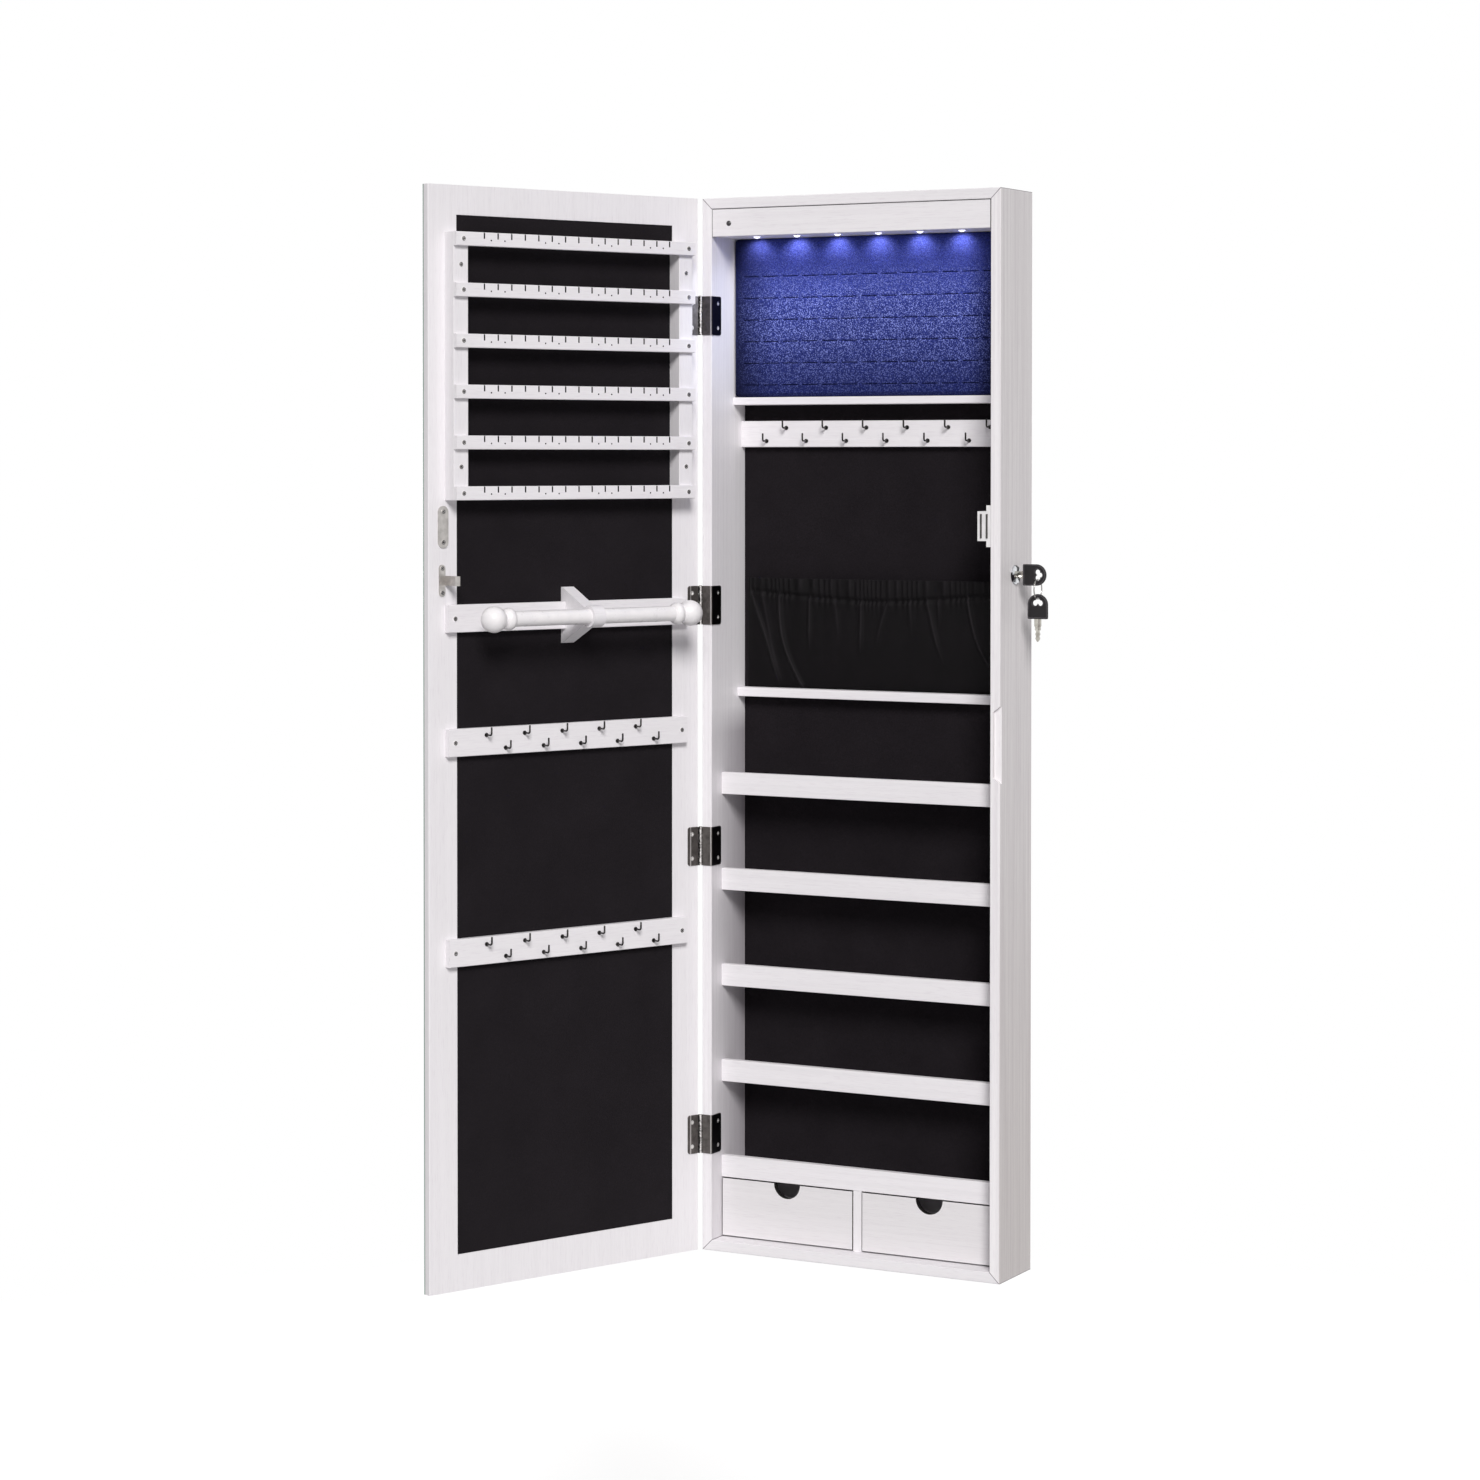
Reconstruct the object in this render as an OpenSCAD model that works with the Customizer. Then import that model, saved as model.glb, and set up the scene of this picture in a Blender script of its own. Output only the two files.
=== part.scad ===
/* [Cabinet] */
// Width over the two side panels
cabinet_w = 370; // [340:5:420]
// Height of cabinet and door
cabinet_h = 1200; // [1140:10:1400]
// Depth from the wall to the front edges of the panels
cabinet_d = 85.6; // [84:0.2:110]
// Thickness of the side, top and bottom panels
panel_t = 12; // [10:0.5:15]
// Rounding of the panels' front edges
edge_r = 1; // [0.5:0.1:2]
// Thickness of the back board
back_t = 3; // [2.5:0.5:4]
// How far the back board reaches into each panel
rabbet_w = 5; // [3:0.5:7]
// Thickness of the velvet board on the back wall
lining_t = 2; // [1.5:0.5:3]
// Free space round boards that are slid into place
board_play = 0.2; // [0.1:0.1:0.5]

/* [Finger pull in the right panel] */
// Height of the pull's middle above the underside
pull_z = 591.5; // [500:0.5:700]
// Length of the pull at the panel's face
pull_len = 85; // [60:1:110]
// Width of the pull across the front edge
pull_w = 8.6; // [6:0.2:9]
// Depth of the pull behind the front edge
pull_depth = 4.6; // [3:0.2:8]
// Length of the slanted ends
pull_slant = 6.5; // [4:0.5:10]

/* [Light box] */
// Height of the fascia over the lights
fascia_h = 31.7; // [28:0.1:40]
// Thickness of the fascia
fascia_t = 9; // [6:0.5:12]
// Step from the panels' front edges to the fascia
fascia_step = 0.5; // [0.2:0.1:2]
// Thickness of the board that carries the lights
tray_t = 4; // [3:0.5:6]
// Radius of a light's lens
lens_r = 4; // [3:0.25:5]
// How far a lens stands below the board
lens_drop = 2; // [1:0.25:3]
// Distance between the lights
light_pitch = 51; // [40:1:60]
// Distance of the lights behind the front edges
light_setback = 24; // [18:0.5:30]
// Free wall beyond the outer lights, at the least
light_margin = 35; // [25:1:45]
// Width of the light strip's circuit board
strip_w = 12; // [10:0.5:16]
// Thickness of the light strip's circuit board
strip_t = 1.6; // [1:0.1:2]
// Radius of the door sensor's lens
sensor_r = 3; // [2:0.25:4]
// Distance of the sensor from the left panel
sensor_inset = 21.7; // [15:0.5:40]
// Height of the sensor above the fascia's lower edge
sensor_rise = 14.7; // [10:0.5:20]
// Length of the battery box
battery_len = 62; // [50:1:70]
// Width of the battery box
battery_w = 32; // [28:1:36]
// Height of the battery box
battery_h = 18; // [15:0.5:20]

/* [Ring cushion] */
// Height of the bay that holds the cushion
ring_bay_h = 181.6; // [150:0.1:220]
// Thickness of the cushion
cushion_t = 27.6; // [20:0.2:35]
// Rounding of the cushion's edges
cushion_r = 4; // [2:0.5:8]
// Space left round soft pieces
soft_gap = 0.4; // [0.3:0.1:1]
// Rows of slits
slit_rows = 6; // [3:1:7]
// Distance between the rows of slits
slit_row_pitch = 24.8; // [20:0.2:28]
// Height of the lowest row above the cushion's underside
slit_first = 13; // [8:0.5:20]
// Length of a slit
slit_len = 19.5; // [15:0.5:22]
// Distance between the slits of a row
slit_pitch = 25; // [23:0.5:30]
// Width of a slit
slit_w = 1.2; // [0.8:0.1:2]
// Depth of a slit
slit_depth = 12; // [8:0.5:16]
// Plain cushion beyond a row's ends, at the least
slit_margin = 12; // [8:1:20]
// Thickness of the shelf under the cushion
ring_shelf_t = 8.7; // [8:0.1:12]

/* [Hook rails] */
// Height of a rail
rail_h = 30; // [26:0.5:36]
// Thickness of a rail
rail_t = 8; // [6:0.5:10]
// Space between the ring shelf and the rail under it
rail_drop = 18.3; // [12:0.5:40]
// Distance between neighbouring hooks
hook_pitch = 25.5; // [20:0.5:30]
// Distance of the lower hooks above the rail's lower edge
hook_low = 7; // [5:0.5:10]
// Distance of the upper hooks below the rail's upper edge
hook_high = 8; // [6:0.5:10]
// Radius of a hook's wire
hook_wire_r = 1; // [0.8:0.1:1.4]
// How far a hook stands out of its rail
hook_reach = 10; // [8:0.5:14]
// Height of a hook's upright end
hook_rise = 8; // [6:0.5:10]
// Radius of a hook's foot plate
hook_foot_r = 2.4; // [2:0.1:3]
// Free rail beyond the outer hooks in the cabinet
cabinet_hook_margin = 20; // [15:1:30]
// Free rail beyond the outer hooks on the door
door_hook_margin = 36; // [25:1:45]

/* [Shelves] */
// Distance between the shelves
shelf_pitch = 110; // [100:1:112]
// Height of a guard rail
guard_h = 25; // [20:0.5:30]
// Thickness of a guard rail
guard_t = 8; // [6:0.5:10]
// Distance of the guards and drawers behind the front edges
guard_setback = 24.6; // [22.5:0.2:28]
// Thickness of a shelf board
shelf_t = 8; // [6:0.5:10]
// Thickness of the narrow shelf under the pouch
pouch_shelf_t = 10.3; // [8:0.1:12]
// Depth of the narrow shelf under the pouch
pouch_shelf_d = 17; // [15:0.5:17.5]

/* [Pouch] */
// Height of the pouch up to its elastic hem
pouch_h = 110; // [80:1:130]
// Height of the ruffle above the hem
ruffle_h = 16; // [10:0.5:22]
// Space between the pouch and each side panel
pouch_inset = 5; // [3:0.5:12]
// How far the pouch bulges from the back wall
pouch_bulge = 11.5; // [10:0.1:12]
// Thickness of the pouch's cloth
cloth_t = 1.4; // [1:0.1:2]
// Depth of the gathers at the hem
gather_depth = 1.3; // [0.8:0.1:1.6]
// Number of gathers across
gathers = 15; // [8:1:18]

/* [Drawers] */
// Height of the drawer opening
drawer_h = 68.5; // [60:0.5:80]
// Thickness of the divider between the drawers
divider_t = 10; // [8:0.5:14]
// Gap round a drawer's front
drawer_gap = 1.3; // [0.5:0.1:1.5]
// Gap under a drawer
drawer_lift = 0.3; // [0.2:0.1:0.5]
// Thickness of a drawer's front
drawer_front_t = 8; // [6:0.5:10]
// Thickness of a drawer's sides and back
drawer_side_t = 5; // [4:0.5:7]
// Thickness of a drawer's floor
drawer_floor_t = 3; // [2:0.5:4]
// How far the sides stay below the front's upper edge
drawer_side_drop = 6; // [3:0.5:12]
// Radius of the half-round finger notch
notch_r = 16.5; // [12:0.5:20]
// How far a drawer pulls out
drawer_travel = 40; // [30:1:44]

/* [Door] */
// Gap between the door and the cabinet's front edges
door_gap = 2.4; // [2.3:0.1:3]
// Thickness of the door's board
door_board_t = 8; // [8:0.5:12]
// Thickness of the mirror glass on the outside
mirror_t = 2.5; // [2:0.5:4]
// Angle that the door stands open
door_open = 113; // [0:1:180]
// Plain border beside the door's velvet
lining_side = 37; // [30:0.5:45]
// Plain border above the door's velvet
lining_top = 32; // [25:0.5:45]
// Plain border below the door's velvet
lining_bottom = 40; // [30:0.5:50]
// Depth of the bed for the door's velvet
lining_bed = 1.5; // [1:0.1:2.5]
// How far the velvet stays below the door's face
lining_sink = 0.3; // [0.2:0.1:0.6]

/* [Earring rack] */
// Distance of the rack and rails from the door's sides
rack_inset = 21.5; // [18:0.5:28]
// Distance of the rack's top from the door's top
rack_drop = 51.4; // [46:0.2:70]
// Width of a stile
stile_w = 19; // [15:0.5:24]
// Depth of a stile
stile_d = 17.5; // [10:0.5:18]
// Number of slats
slat_count = 6; // [3:1:6]
// Distance between the slats
slat_pitch = 54.8; // [45:0.2:55]
// Height of a slat
slat_h = 15; // [12:0.5:18]
// Thickness of a slat
slat_t = 5; // [4:0.5:6]
// Distance between the slots for ear wires
slot_pitch = 18.1; // [14:0.1:22]
// Width of a slot
slot_w = 1.8; // [1.2:0.1:2.4]
// Depth of a slot
slot_depth = 7; // [5:0.5:9]
// Slat left plain beyond the outer slots, at the least
slot_margin = 36; // [30:0.5:42]
// Radius of a hole for ear studs
stud_hole_r = 0.9; // [0.6:0.1:1.2]
// Distance of the stud holes below a slat's upper edge
stud_hole_drop = 8.5; // [7:0.5:10]

/* [Bangle rod and door rails] */
// Space between the rack's foot and the bangle rail
bangle_drop = 113; // [110:0.5:125]
// Space between the bangle rail and the upper hook rail
hook_rail_drop = 104.5; // [60:0.5:130]
// Space between the two hook rails
hook_rail_step = 198; // [60:1:220]
// Distance of the rod's middle from the door
rod_reach = 50; // [44:0.5:50.5]
// Radius of the rod
rod_r = 8.5; // [7:0.25:9.5]
// Distance between the middles of the end balls
rod_len = 268; // [200:1:280]
// Radius of an end ball
ball_r = 14.4; // [12:0.2:14.6]
// Radius of the bead beside an end ball
bead_r = 12.2; // [10.5:0.2:12.5]
// Length of the bead beside an end ball
bead_len = 13; // [8:0.5:16]
// Thickness of the bracket
bracket_t = 16; // [12:0.5:20]
// Height of the bracket's foot
bracket_h = 62; // [50:1:70]
// Radius of the bracket's hub
hub_r = 12; // [11:0.25:14]
// Radial play of the rod in its hub
rod_play = 0.1; // [0.05:0.05:0.2]

/* [Hinges] */
// Distance of the outer hinges from the cabinet's ends
hinge_end = 133; // [110:1:160]
// Distance between the two middle hinges
hinge_mid = 275; // [200:1:320]
// Height of a hinge
hinge_h = 44; // [36:0.5:50]
// Thickness of a hinge leaf
leaf_t = 1; // [0.8:0.05:1.1]
// Width of a hinge leaf on the door and on the inner wall
leaf_w = 15; // [12:0.5:18]
// How far the wrap leaf reaches back along the inner wall
wrap_w = 21; // [16:0.5:22]
// Rounding of the leaves' far corners
leaf_corner_r = 3; // [1:0.5:4]
// Radius of the hinge barrel
barrel_r = 2.4; // [2.2:0.05:2.6]
// Distance of the pin from the cabinet's side
pin_out = 2.3; // [2.25:0.05:2.8]
// Radius of the hinge pin
pin_r = 1.25; // [1:0.05:1.4]
// Radial play of the pin in the knuckles
pin_play = 0.05; // [0.03:0.01:0.09]
// Gap between neighbouring knuckles
knuckle_gap = 0.2; // [0.1:0.05:0.4]
// Number of knuckles on a hinge
knuckles = 5; // [3:2:7]

/* [Catch and strike plate] */
// Space between the rack's foot and the catch's middle
catch_drop = 29; // [28:0.5:32]
// Width of the catch, out of the side panel
catch_w = 15.6; // [14:0.2:18]
// Height of the catch's body
catch_h = 32.6; // [28:0.2:34]
// Depth of the catch's body
catch_d = 20; // [14:0.5:24]
// Height over the catch's two ears
ear_span = 45.6; // [44:0.2:48]
// Thickness of the ears
ear_t = 5; // [3:0.5:6]
// Depth of the ears
ear_d = 12; // [9:0.5:14]
// Thickness of a magnet's pole plate
pole_t = 1.6; // [1.2:0.1:2]
// Distance between the pole plates
pole_pitch = 7; // [6:0.2:8]
// How far the pole plates stand out of the body
pole_proud = 1.2; // [0.8:0.1:1.4]
// Width of the strike plate
strike_w = 13.2; // [12:0.2:15]
// Thickness of the strike plate
strike_t = 1.2; // [1:0.1:1.5]
// Distance of the strike plate's middle from the door's edge
strike_inset = 18.8; // [18:0.2:20]
// Distance between the strike plate's screws
strike_screws = 33; // [28:0.5:34]

/* [Lock] */
// Space between the rack's foot and the lock's middle
lock_drop = 82.8; // [80:0.2:86]
// Distance of the lock's middle behind the front edges
lock_setback = 39; // [38:0.2:42]
// Radius of the lock's collar
collar_r = 10.5; // [10:0.25:12]
// Thickness of the collar
collar_t = 3.5; // [2.5:0.25:4]
// Radius of the lock's barrel
lock_r = 9.3; // [8.5:0.1:9.6]
// Radial play of the barrel in the panel
lock_play = 0.1; // [0.05:0.05:0.3]
// How far the barrel reaches inside the cabinet
lock_inside = 6.5; // [5.5:0.25:7]
// Thickness of the lock's nut
nut_t = 4; // [3:0.25:4.5]
// Radius over the corners of the lock's nut
nut_r = 13.6; // [12.5:0.1:13.8]
// Radius of the turning plug
plug_r = 6; // [5:0.25:6.5]
// Radial play of the plug in the barrel
plug_play = 0.05; // [0.03:0.01:0.09]
// Thickness of the cam
cam_t = 1.5; // [1:0.1:1.8]
// Radius of the cam's hub
cam_hub_r = 8.2; // [7:0.1:8.5]
// Reach of the cam's hook from the lock's middle
cam_reach = 21.5; // [20:0.5:23]
// Width of the cam's arm
cam_arm_w = 6.4; // [5:0.2:7]
// Size of the plug's square end
square_w = 4.4; // [4:0.1:5]
// Thickness of the lock keeper
keeper_t = 1.2; // [1:0.1:1.4]
// Width of the keeper's foot
keeper_w = 8; // [7:0.2:9]
// Height of the keeper's foot
keeper_h = 34.5; // [30:0.5:38]
// Height of the keeper's tongue
tongue_h = 10.4; // [8:0.2:11]
// Length of the keeper's tongue
tongue_len = 27.4; // [26:0.2:28]
// Distance of the tongue's upper edge above the lock's middle
tongue_rise = 1.2; // [0.8:0.1:1.4]
// Length of the tongue's bent lip
lip_len = 4.5; // [4:0.25:5]
// Distance between the tongue's plane and the cam
cam_clear = 1; // [0.8:0.1:1.2]

/* [Keys] */
// Length of a key's head
head_len = 27.4; // [24:0.2:30]
// Width of a key's head
head_w = 23.5; // [20:0.5:25]
// Thickness of a key's head
head_t = 3.5; // [3:0.25:4]
// Length of a key's blade
blade_len = 25; // [22:0.5:26]
// Width of a key's blade
blade_w = 8; // [7:0.25:9]
// Thickness of a key's blade
blade_t = 2; // [1.5:0.1:2.4]
// Play of the blade in the plug's slot
key_play = 0.2; // [0.1:0.05:0.4]
// How far the head stays off the collar
key_stand = 6.6; // [5:0.2:8]
// Distance of the head's hole from its round end
hole_inset = 8.4; // [7.5:0.2:9]
// Radius of the key ring
ring_r = 10.75; // [9:0.25:13]
// Radius of the key ring's wire
ring_wire_r = 0.8; // [0.6:0.05:0.9]
// Play of the ring in the keys' holes
ring_play = 0.45; // [0.4:0.05:0.6]

/* [Wall hangers] */
// Distance between the two hangers
hanger_pitch = 250; // [200:5:280]
// Width of a hanger plate
hanger_w = 44; // [40:1:50]
// Height of a hanger plate
hanger_h = 18; // [15:0.5:18]
// Thickness of a hanger plate
hanger_t = 1.5; // [1:0.1:2]
// Radius of the keyhole's round mouth
keyhole_r = 4.5; // [4:0.25:5]
// Width of the keyhole's slot
keyhole_slot = 4.6; // [4:0.2:6]
// Thickness of the batten that carries the hangers
batten_t = 12; // [10:0.5:15]

/* [Screws] */
// Radius of a wood screw's head
screw_head_r = 2.5; // [2:0.1:3]
// Height of a wood screw's head
screw_head_h = 0.8; // [0.5:0.1:1.2]
// Radius of a wood screw's shank
screw_r = 1.1; // [0.9:0.1:1.4]
// Play of a screw in its hole
screw_play = 0.1; // [0.05:0.05:0.2]
// How deep a screw goes into wood
screw_bite = 7.5; // [5:0.5:8]

/* [Hidden] */
$fn = 48;
// Open shelves over the drawers, each with a guard of its own
shelf_count = 4;

white = "#e4e1e4";
black = "#1c181b";
steel = "#a7a29b";
chrome = "#c9cacc";

half_w = cabinet_w / 2;
inner_w = cabinet_w - 2 * panel_t;
inner_half = inner_w / 2;
inner_top = cabinet_h - panel_t;
front_y = -cabinet_d;
lining_y = -(back_t + lining_t);
tray_z = inner_top - fascia_h;
cushion_y = lining_y - cushion_t;
ring_shelf_z = tray_z - ring_bay_h - ring_shelf_t;
necklace_z = ring_shelf_z - rail_drop - rail_h;
guard_y = front_y + guard_setback;
guard_back = guard_y + guard_t;
deck_z = panel_t + drawer_h;
pouch_shelf_z = deck_z + (shelf_count + 1) * shelf_pitch;
pouch_z = pouch_shelf_z + pouch_shelf_t;

door_t = door_board_t + mirror_t;
door_in = front_y - door_gap;
door_out = door_in - door_t;
rack_half = half_w - rack_inset;
rack_top = cabinet_h - rack_drop;
rack_bottom = rack_top - (slat_count - 1) * slat_pitch - slat_h;
slat_y = door_in + stile_d;
bangle_z = rack_bottom - bangle_drop - rail_h;
upper_rail_z = bangle_z - hook_rail_drop - rail_h;
lower_rail_z = upper_rail_z - hook_rail_step - rail_h;
rod_y = door_in + rod_reach;
rod_z = bangle_z + rail_h / 2;

pin_x = -half_w - pin_out;
pin_y = front_y - door_gap / 2;
hinge_z = [
    hinge_end,
    (cabinet_h - hinge_mid) / 2,
    (cabinet_h + hinge_mid) / 2,
    cabinet_h - hinge_end
];
knuckle_h = (hinge_h - (knuckles - 1) * knuckle_gap) / knuckles;
leaf_screw_z = hinge_h * 0.315;

catch_z = rack_bottom - catch_drop;
catch_y = door_in + strike_t + 0.3 + pole_proud;
strike_x = half_w - strike_inset;
ear_screw_z = (catch_h + ear_span) / 4;

lock_z = rack_bottom - lock_drop;
lock_y = front_y + lock_setback;
lock_end = inner_half - lock_inside;
cam_x = lock_end - 0.4 - cam_t;
tongue_x = cam_x - cam_clear;
tongue_tip = door_in + tongue_len;
lip_gap = 0.8;

head_x = half_w + collar_t + key_stand;
hole_x = head_x + head_len - hole_inset;
lobe_r = 3.1;
lobe_side = 3;
lobe_back = 1.4;
tip_r = 2.6;
tip_out = 1.6;
wire_x = hole_x - lobe_back;
wire_z = lock_z - lobe_side - lobe_r + ring_wire_r + ring_play;
ring_z = wire_z - ring_r;
spare_hole_z = ring_z - ring_r - tip_out - tip_r + ring_wire_r + ring_play;

hanger_z = (tray_z + tray_t + inner_top) / 2;
mouth_drop = 3.2;
slot_rise = 3.2;

// Counts that follow from the lengths
function pair_count(half_len, margin, pitch) = 2 * floor((half_len - margin) / pitch + 0.5);
function pair_x(i, count, pitch) = (i - (count - 1) / 2) * pitch;

lights = pair_count(inner_half, light_margin, light_pitch);
cabinet_hooks = pair_count(inner_half, cabinet_hook_margin, hook_pitch);
rail_hooks = pair_count(rack_half, door_hook_margin, hook_pitch);
slots = 2 * floor((rack_half - slot_margin) / slot_pitch) + 1;
slits = 2 * floor((inner_half - slit_margin - slit_len / 2) / slit_pitch) + 1;

// Heights in the modules count from the cabinet's underside
module lift() translate([0, 0, -cabinet_h / 2]) children();

// The door is drawn shut and swings open about its hinge pins
module on_door() {
    translate([pin_x, pin_y, 0])
        rotate([0, 0, -door_open])
            translate([-pin_x, -pin_y, -cabinet_h / 2])
                children();
}

// Board section with its two front corners rounded, depth along x
module soft_section(depth, thick, r) {
    translate([r, 0])
        square([depth - r, thick]);
    translate([0, r])
        square([depth, thick - 2 * r]);
    for (y = [r, thick - r])
        translate([r, y])
            circle(r);
}

// Board that lies across, its rounded edge to the front
module cross_board(len, depth, thick, r) {
    translate([-len / 2, 0, 0])
        rotate([90, 0, 90])
            linear_extrude(len)
                soft_section(depth, thick, r);
}

// Upright board, its rounded edge to the front
module upright_board(height, depth, thick, r) {
    linear_extrude(height)
        mirror([1, -1, 0])
            soft_section(depth, thick, r);
}

// Rail with its face to the front and soft long edges
module rail(len, height, thick) {
    translate([-len / 2, 0, 0])
        rotate([90, 0, 90])
            linear_extrude(len)
                soft_section(thick, height, 0.8);
}

// The same rail with its face turned away from the door
module door_rail(z) {
    translate([0, door_in, z])
        mirror([0, 1, 0])
            translate([0, -rail_t, 0])
                rail(2 * rack_half, rail_h, rail_t);
}

module back_bed(play) {
    translate([-inner_half - rabbet_w + play, -back_t, panel_t - rabbet_w + play])
        cube([inner_w + 2 * (rabbet_w - play), back_t + 1, cabinet_h - 2 * (panel_t - rabbet_w + play)]);
}

// Keeps the mitred part of a side panel
module side_mitre() {
    rotate([90, 0, 0])
        linear_extrude(cabinet_d)
            polygon([
                [-half_w, 0], [-inner_half, panel_t],
                [-inner_half, inner_top], [-half_w, cabinet_h]
            ]);
}

// Keeps the mitred part of the bottom panel
module cross_mitre() {
    rotate([90, 0, 0])
        linear_extrude(cabinet_d)
            polygon([[-half_w, 0], [half_w, 0], [inner_half, panel_t], [-inner_half, panel_t]]);
}

module side_panel() {
    difference() {
        intersection() {
            translate([-half_w, front_y, 0])
                upright_board(cabinet_h, cabinet_d, panel_t, edge_r);
            side_mitre();
        }
        back_bed(0);
    }
}

module end_panel() {
    difference() {
        intersection() {
            translate([0, front_y, 0])
                cross_board(cabinet_w, cabinet_d, panel_t, edge_r);
            cross_mitre();
        }
        back_bed(0);
    }
}

module left_side_panel() {
    color(white)
        lift()
            difference() {
                side_panel();
                wrap_screw_places()
                    cone_hole();
            }
}

module finger_pull() {
    far = half_w + 1;
    low = pull_z - pull_len / 2;
    high = pull_z + pull_len / 2;
    translate([0, front_y + pull_depth, 0])
        rotate([90, 0, 0])
            linear_extrude(pull_depth + 1)
                polygon([
                    [far, low], [half_w, low], [half_w - pull_w, low + pull_slant],
                    [half_w - pull_w, high - pull_slant], [half_w, high], [far, high]
                ]);
}

// Puts what is drawn along +Z on the lock's axis, pointing to the right
module on_lock(x) translate([x, lock_y, lock_z]) rotate([0, 90, 0]) children();

module right_side_panel() {
    color(white)
        lift()
            difference() {
                mirror([1, 0, 0])
                    side_panel();
                finger_pull();
                on_lock(inner_half - 1)
                    cylinder(r = lock_r + lock_play, h = panel_t + 2);
                catch_screw_places()
                    screw_hole();
            }
}

module top_panel() {
    color(white)
        lift()
            translate([0, 0, cabinet_h])
                mirror([0, 0, 1])
                    end_panel();
}

module bottom_panel() {
    color(white)
        lift()
            end_panel();
}

module back_panel() {
    window_w = hanger_w + 3;
    window_h = hanger_h + 3;
    color(white)
        lift()
            difference() {
                intersection() {
                    back_bed(board_play);
                    translate([-half_w, -back_t, 0])
                        cube([cabinet_w, back_t, cabinet_h]);
                }
                for (side = [-1, 1])
                    translate([side * hanger_pitch / 2 - window_w / 2, -back_t - 1, hanger_z - window_h / 2])
                        cube([window_w, back_t + 2, window_h]);
            }
}

module back_lining() {
    low = deck_z + shelf_t;
    color(black)
        lift()
            translate([-inner_half + board_play, lining_y, low])
                cube([inner_w - 2 * board_play, lining_t, tray_z - low]);
}

// Wood screw with its head's underside at the origin, pointing down
module wood_screw() {
    cylinder(r1 = screw_head_r, r2 = screw_head_r * 0.8, h = screw_head_h);
    translate([0, 0, -screw_bite])
        cylinder(r = screw_r, h = screw_bite + screw_head_h / 2);
}

module screw_hole() {
    translate([0, 0, -screw_bite - 0.5])
        cylinder(r = screw_r + screw_play, h = screw_bite + 1.5);
}

// Wood screw with a cone for a head, flush with its upper end
module cone_screw() {
    cylinder(r1 = screw_r, r2 = screw_head_r, h = screw_head_h);
    translate([0, 0, -screw_bite])
        cylinder(r = screw_r, h = screw_bite + screw_head_h / 2);
}

module cone_hole() {
    wide = screw_head_r + screw_play;
    cylinder(r1 = screw_r + screw_play, r2 = wide, h = screw_head_h);
    translate([0, 0, screw_head_h])
        cylinder(r = wide, h = 1);
    screw_hole();
}

// A hinge's screws are flush with its leaf
module wrap_screw_places() {
    for (z = hinge_z, side = [-1, 1])
        translate([
            -inner_half + leaf_t - screw_head_h,
            front_y + wrap_w * 0.65,
            z + side * leaf_screw_z
        ])
            rotate([0, 90, 0])
                children();
}

module catch_screw_places() {
    for (side = [-1, 1])
        translate([inner_half - ear_t, catch_y + ear_d / 2, catch_z + side * ear_screw_z])
            rotate([0, -90, 0])
                children();
}

module hanger_screw_places() {
    for (x = [-1, 1], side = [-1, 1])
        translate([
            x * hanger_pitch / 2 + side * hanger_w * 0.37,
            hanger_t - back_t - screw_head_h,
            hanger_z
        ])
            rotate([-90, 0, 0])
                children();
}

module cabinet_screws() {
    color(steel)
        lift() {
            wrap_screw_places()
                cone_screw();
            catch_screw_places()
                wood_screw();
            hanger_screw_places()
                wood_screw();
        }
}

// Round mouth below, narrow slot with a round end above
module keyhole(extra, h) {
    translate([0, -mouth_drop, 0])
        cylinder(r = keyhole_r + extra, h = h);
    translate([-keyhole_slot / 2 - extra, -mouth_drop, 0])
        cube([keyhole_slot + 2 * extra, slot_rise + mouth_drop, h]);
    translate([0, slot_rise, 0])
        cylinder(r = keyhole_slot / 2 + extra, h = h);
}

module hanging_batten() {
    low = tray_z + tray_t;
    color(white)
        lift()
            difference() {
                translate([-inner_half, -back_t - batten_t, low])
                    cube([inner_w, batten_t, inner_top - low]);
                for (side = [-1, 1])
                    translate([side * hanger_pitch / 2, 1 - back_t, hanger_z])
                        rotate([90, 0, 0])
                            keyhole(1.5, 9);
                hanger_screw_places()
                    screw_hole();
            }
}

module hanger_plates() {
    color(steel)
        lift()
            difference() {
                for (side = [-1, 1])
                    translate([side * hanger_pitch / 2 - hanger_w / 2, -back_t, hanger_z - hanger_h / 2])
                        cube([hanger_w, hanger_t, hanger_h]);
                for (side = [-1, 1])
                    translate([side * hanger_pitch / 2, 1 - back_t + hanger_t, hanger_z])
                        rotate([90, 0, 0])
                            keyhole(0, hanger_t + 2);
                hanger_screw_places()
                    countersink();
            }
}

// Hole for a screw whose head is flush
module countersink() {
    cylinder(r = screw_head_r + screw_play, h = screw_head_h + 1);
    screw_hole();
}

module light_fascia() {
    gap = 2 * board_play;
    color(white)
        lift()
            difference() {
                translate([0, front_y + fascia_step, tray_z])
                    rail(inner_w - 2 * gap, fascia_h - gap, fascia_t);
                translate([sensor_inset - inner_half, front_y, tray_z + sensor_rise])
                    rotate([-90, 0, 0])
                        cylinder(r = sensor_r + 0.1, h = fascia_t + 2);
            }
}

module light_places() {
    for (i = [0 : lights - 1])
        translate([pair_x(i, lights, light_pitch), front_y + light_setback, tray_z])
            children();
}

module light_tray() {
    start = front_y + fascia_step + fascia_t;
    color(white)
        lift()
            difference() {
                translate([-inner_half, start, tray_z])
                    cube([inner_w, -back_t - start, tray_t]);
                light_places()
                    translate([0, 0, -1])
                        cylinder(r = lens_r + 0.1, h = tray_t + 2);
            }
}

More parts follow.
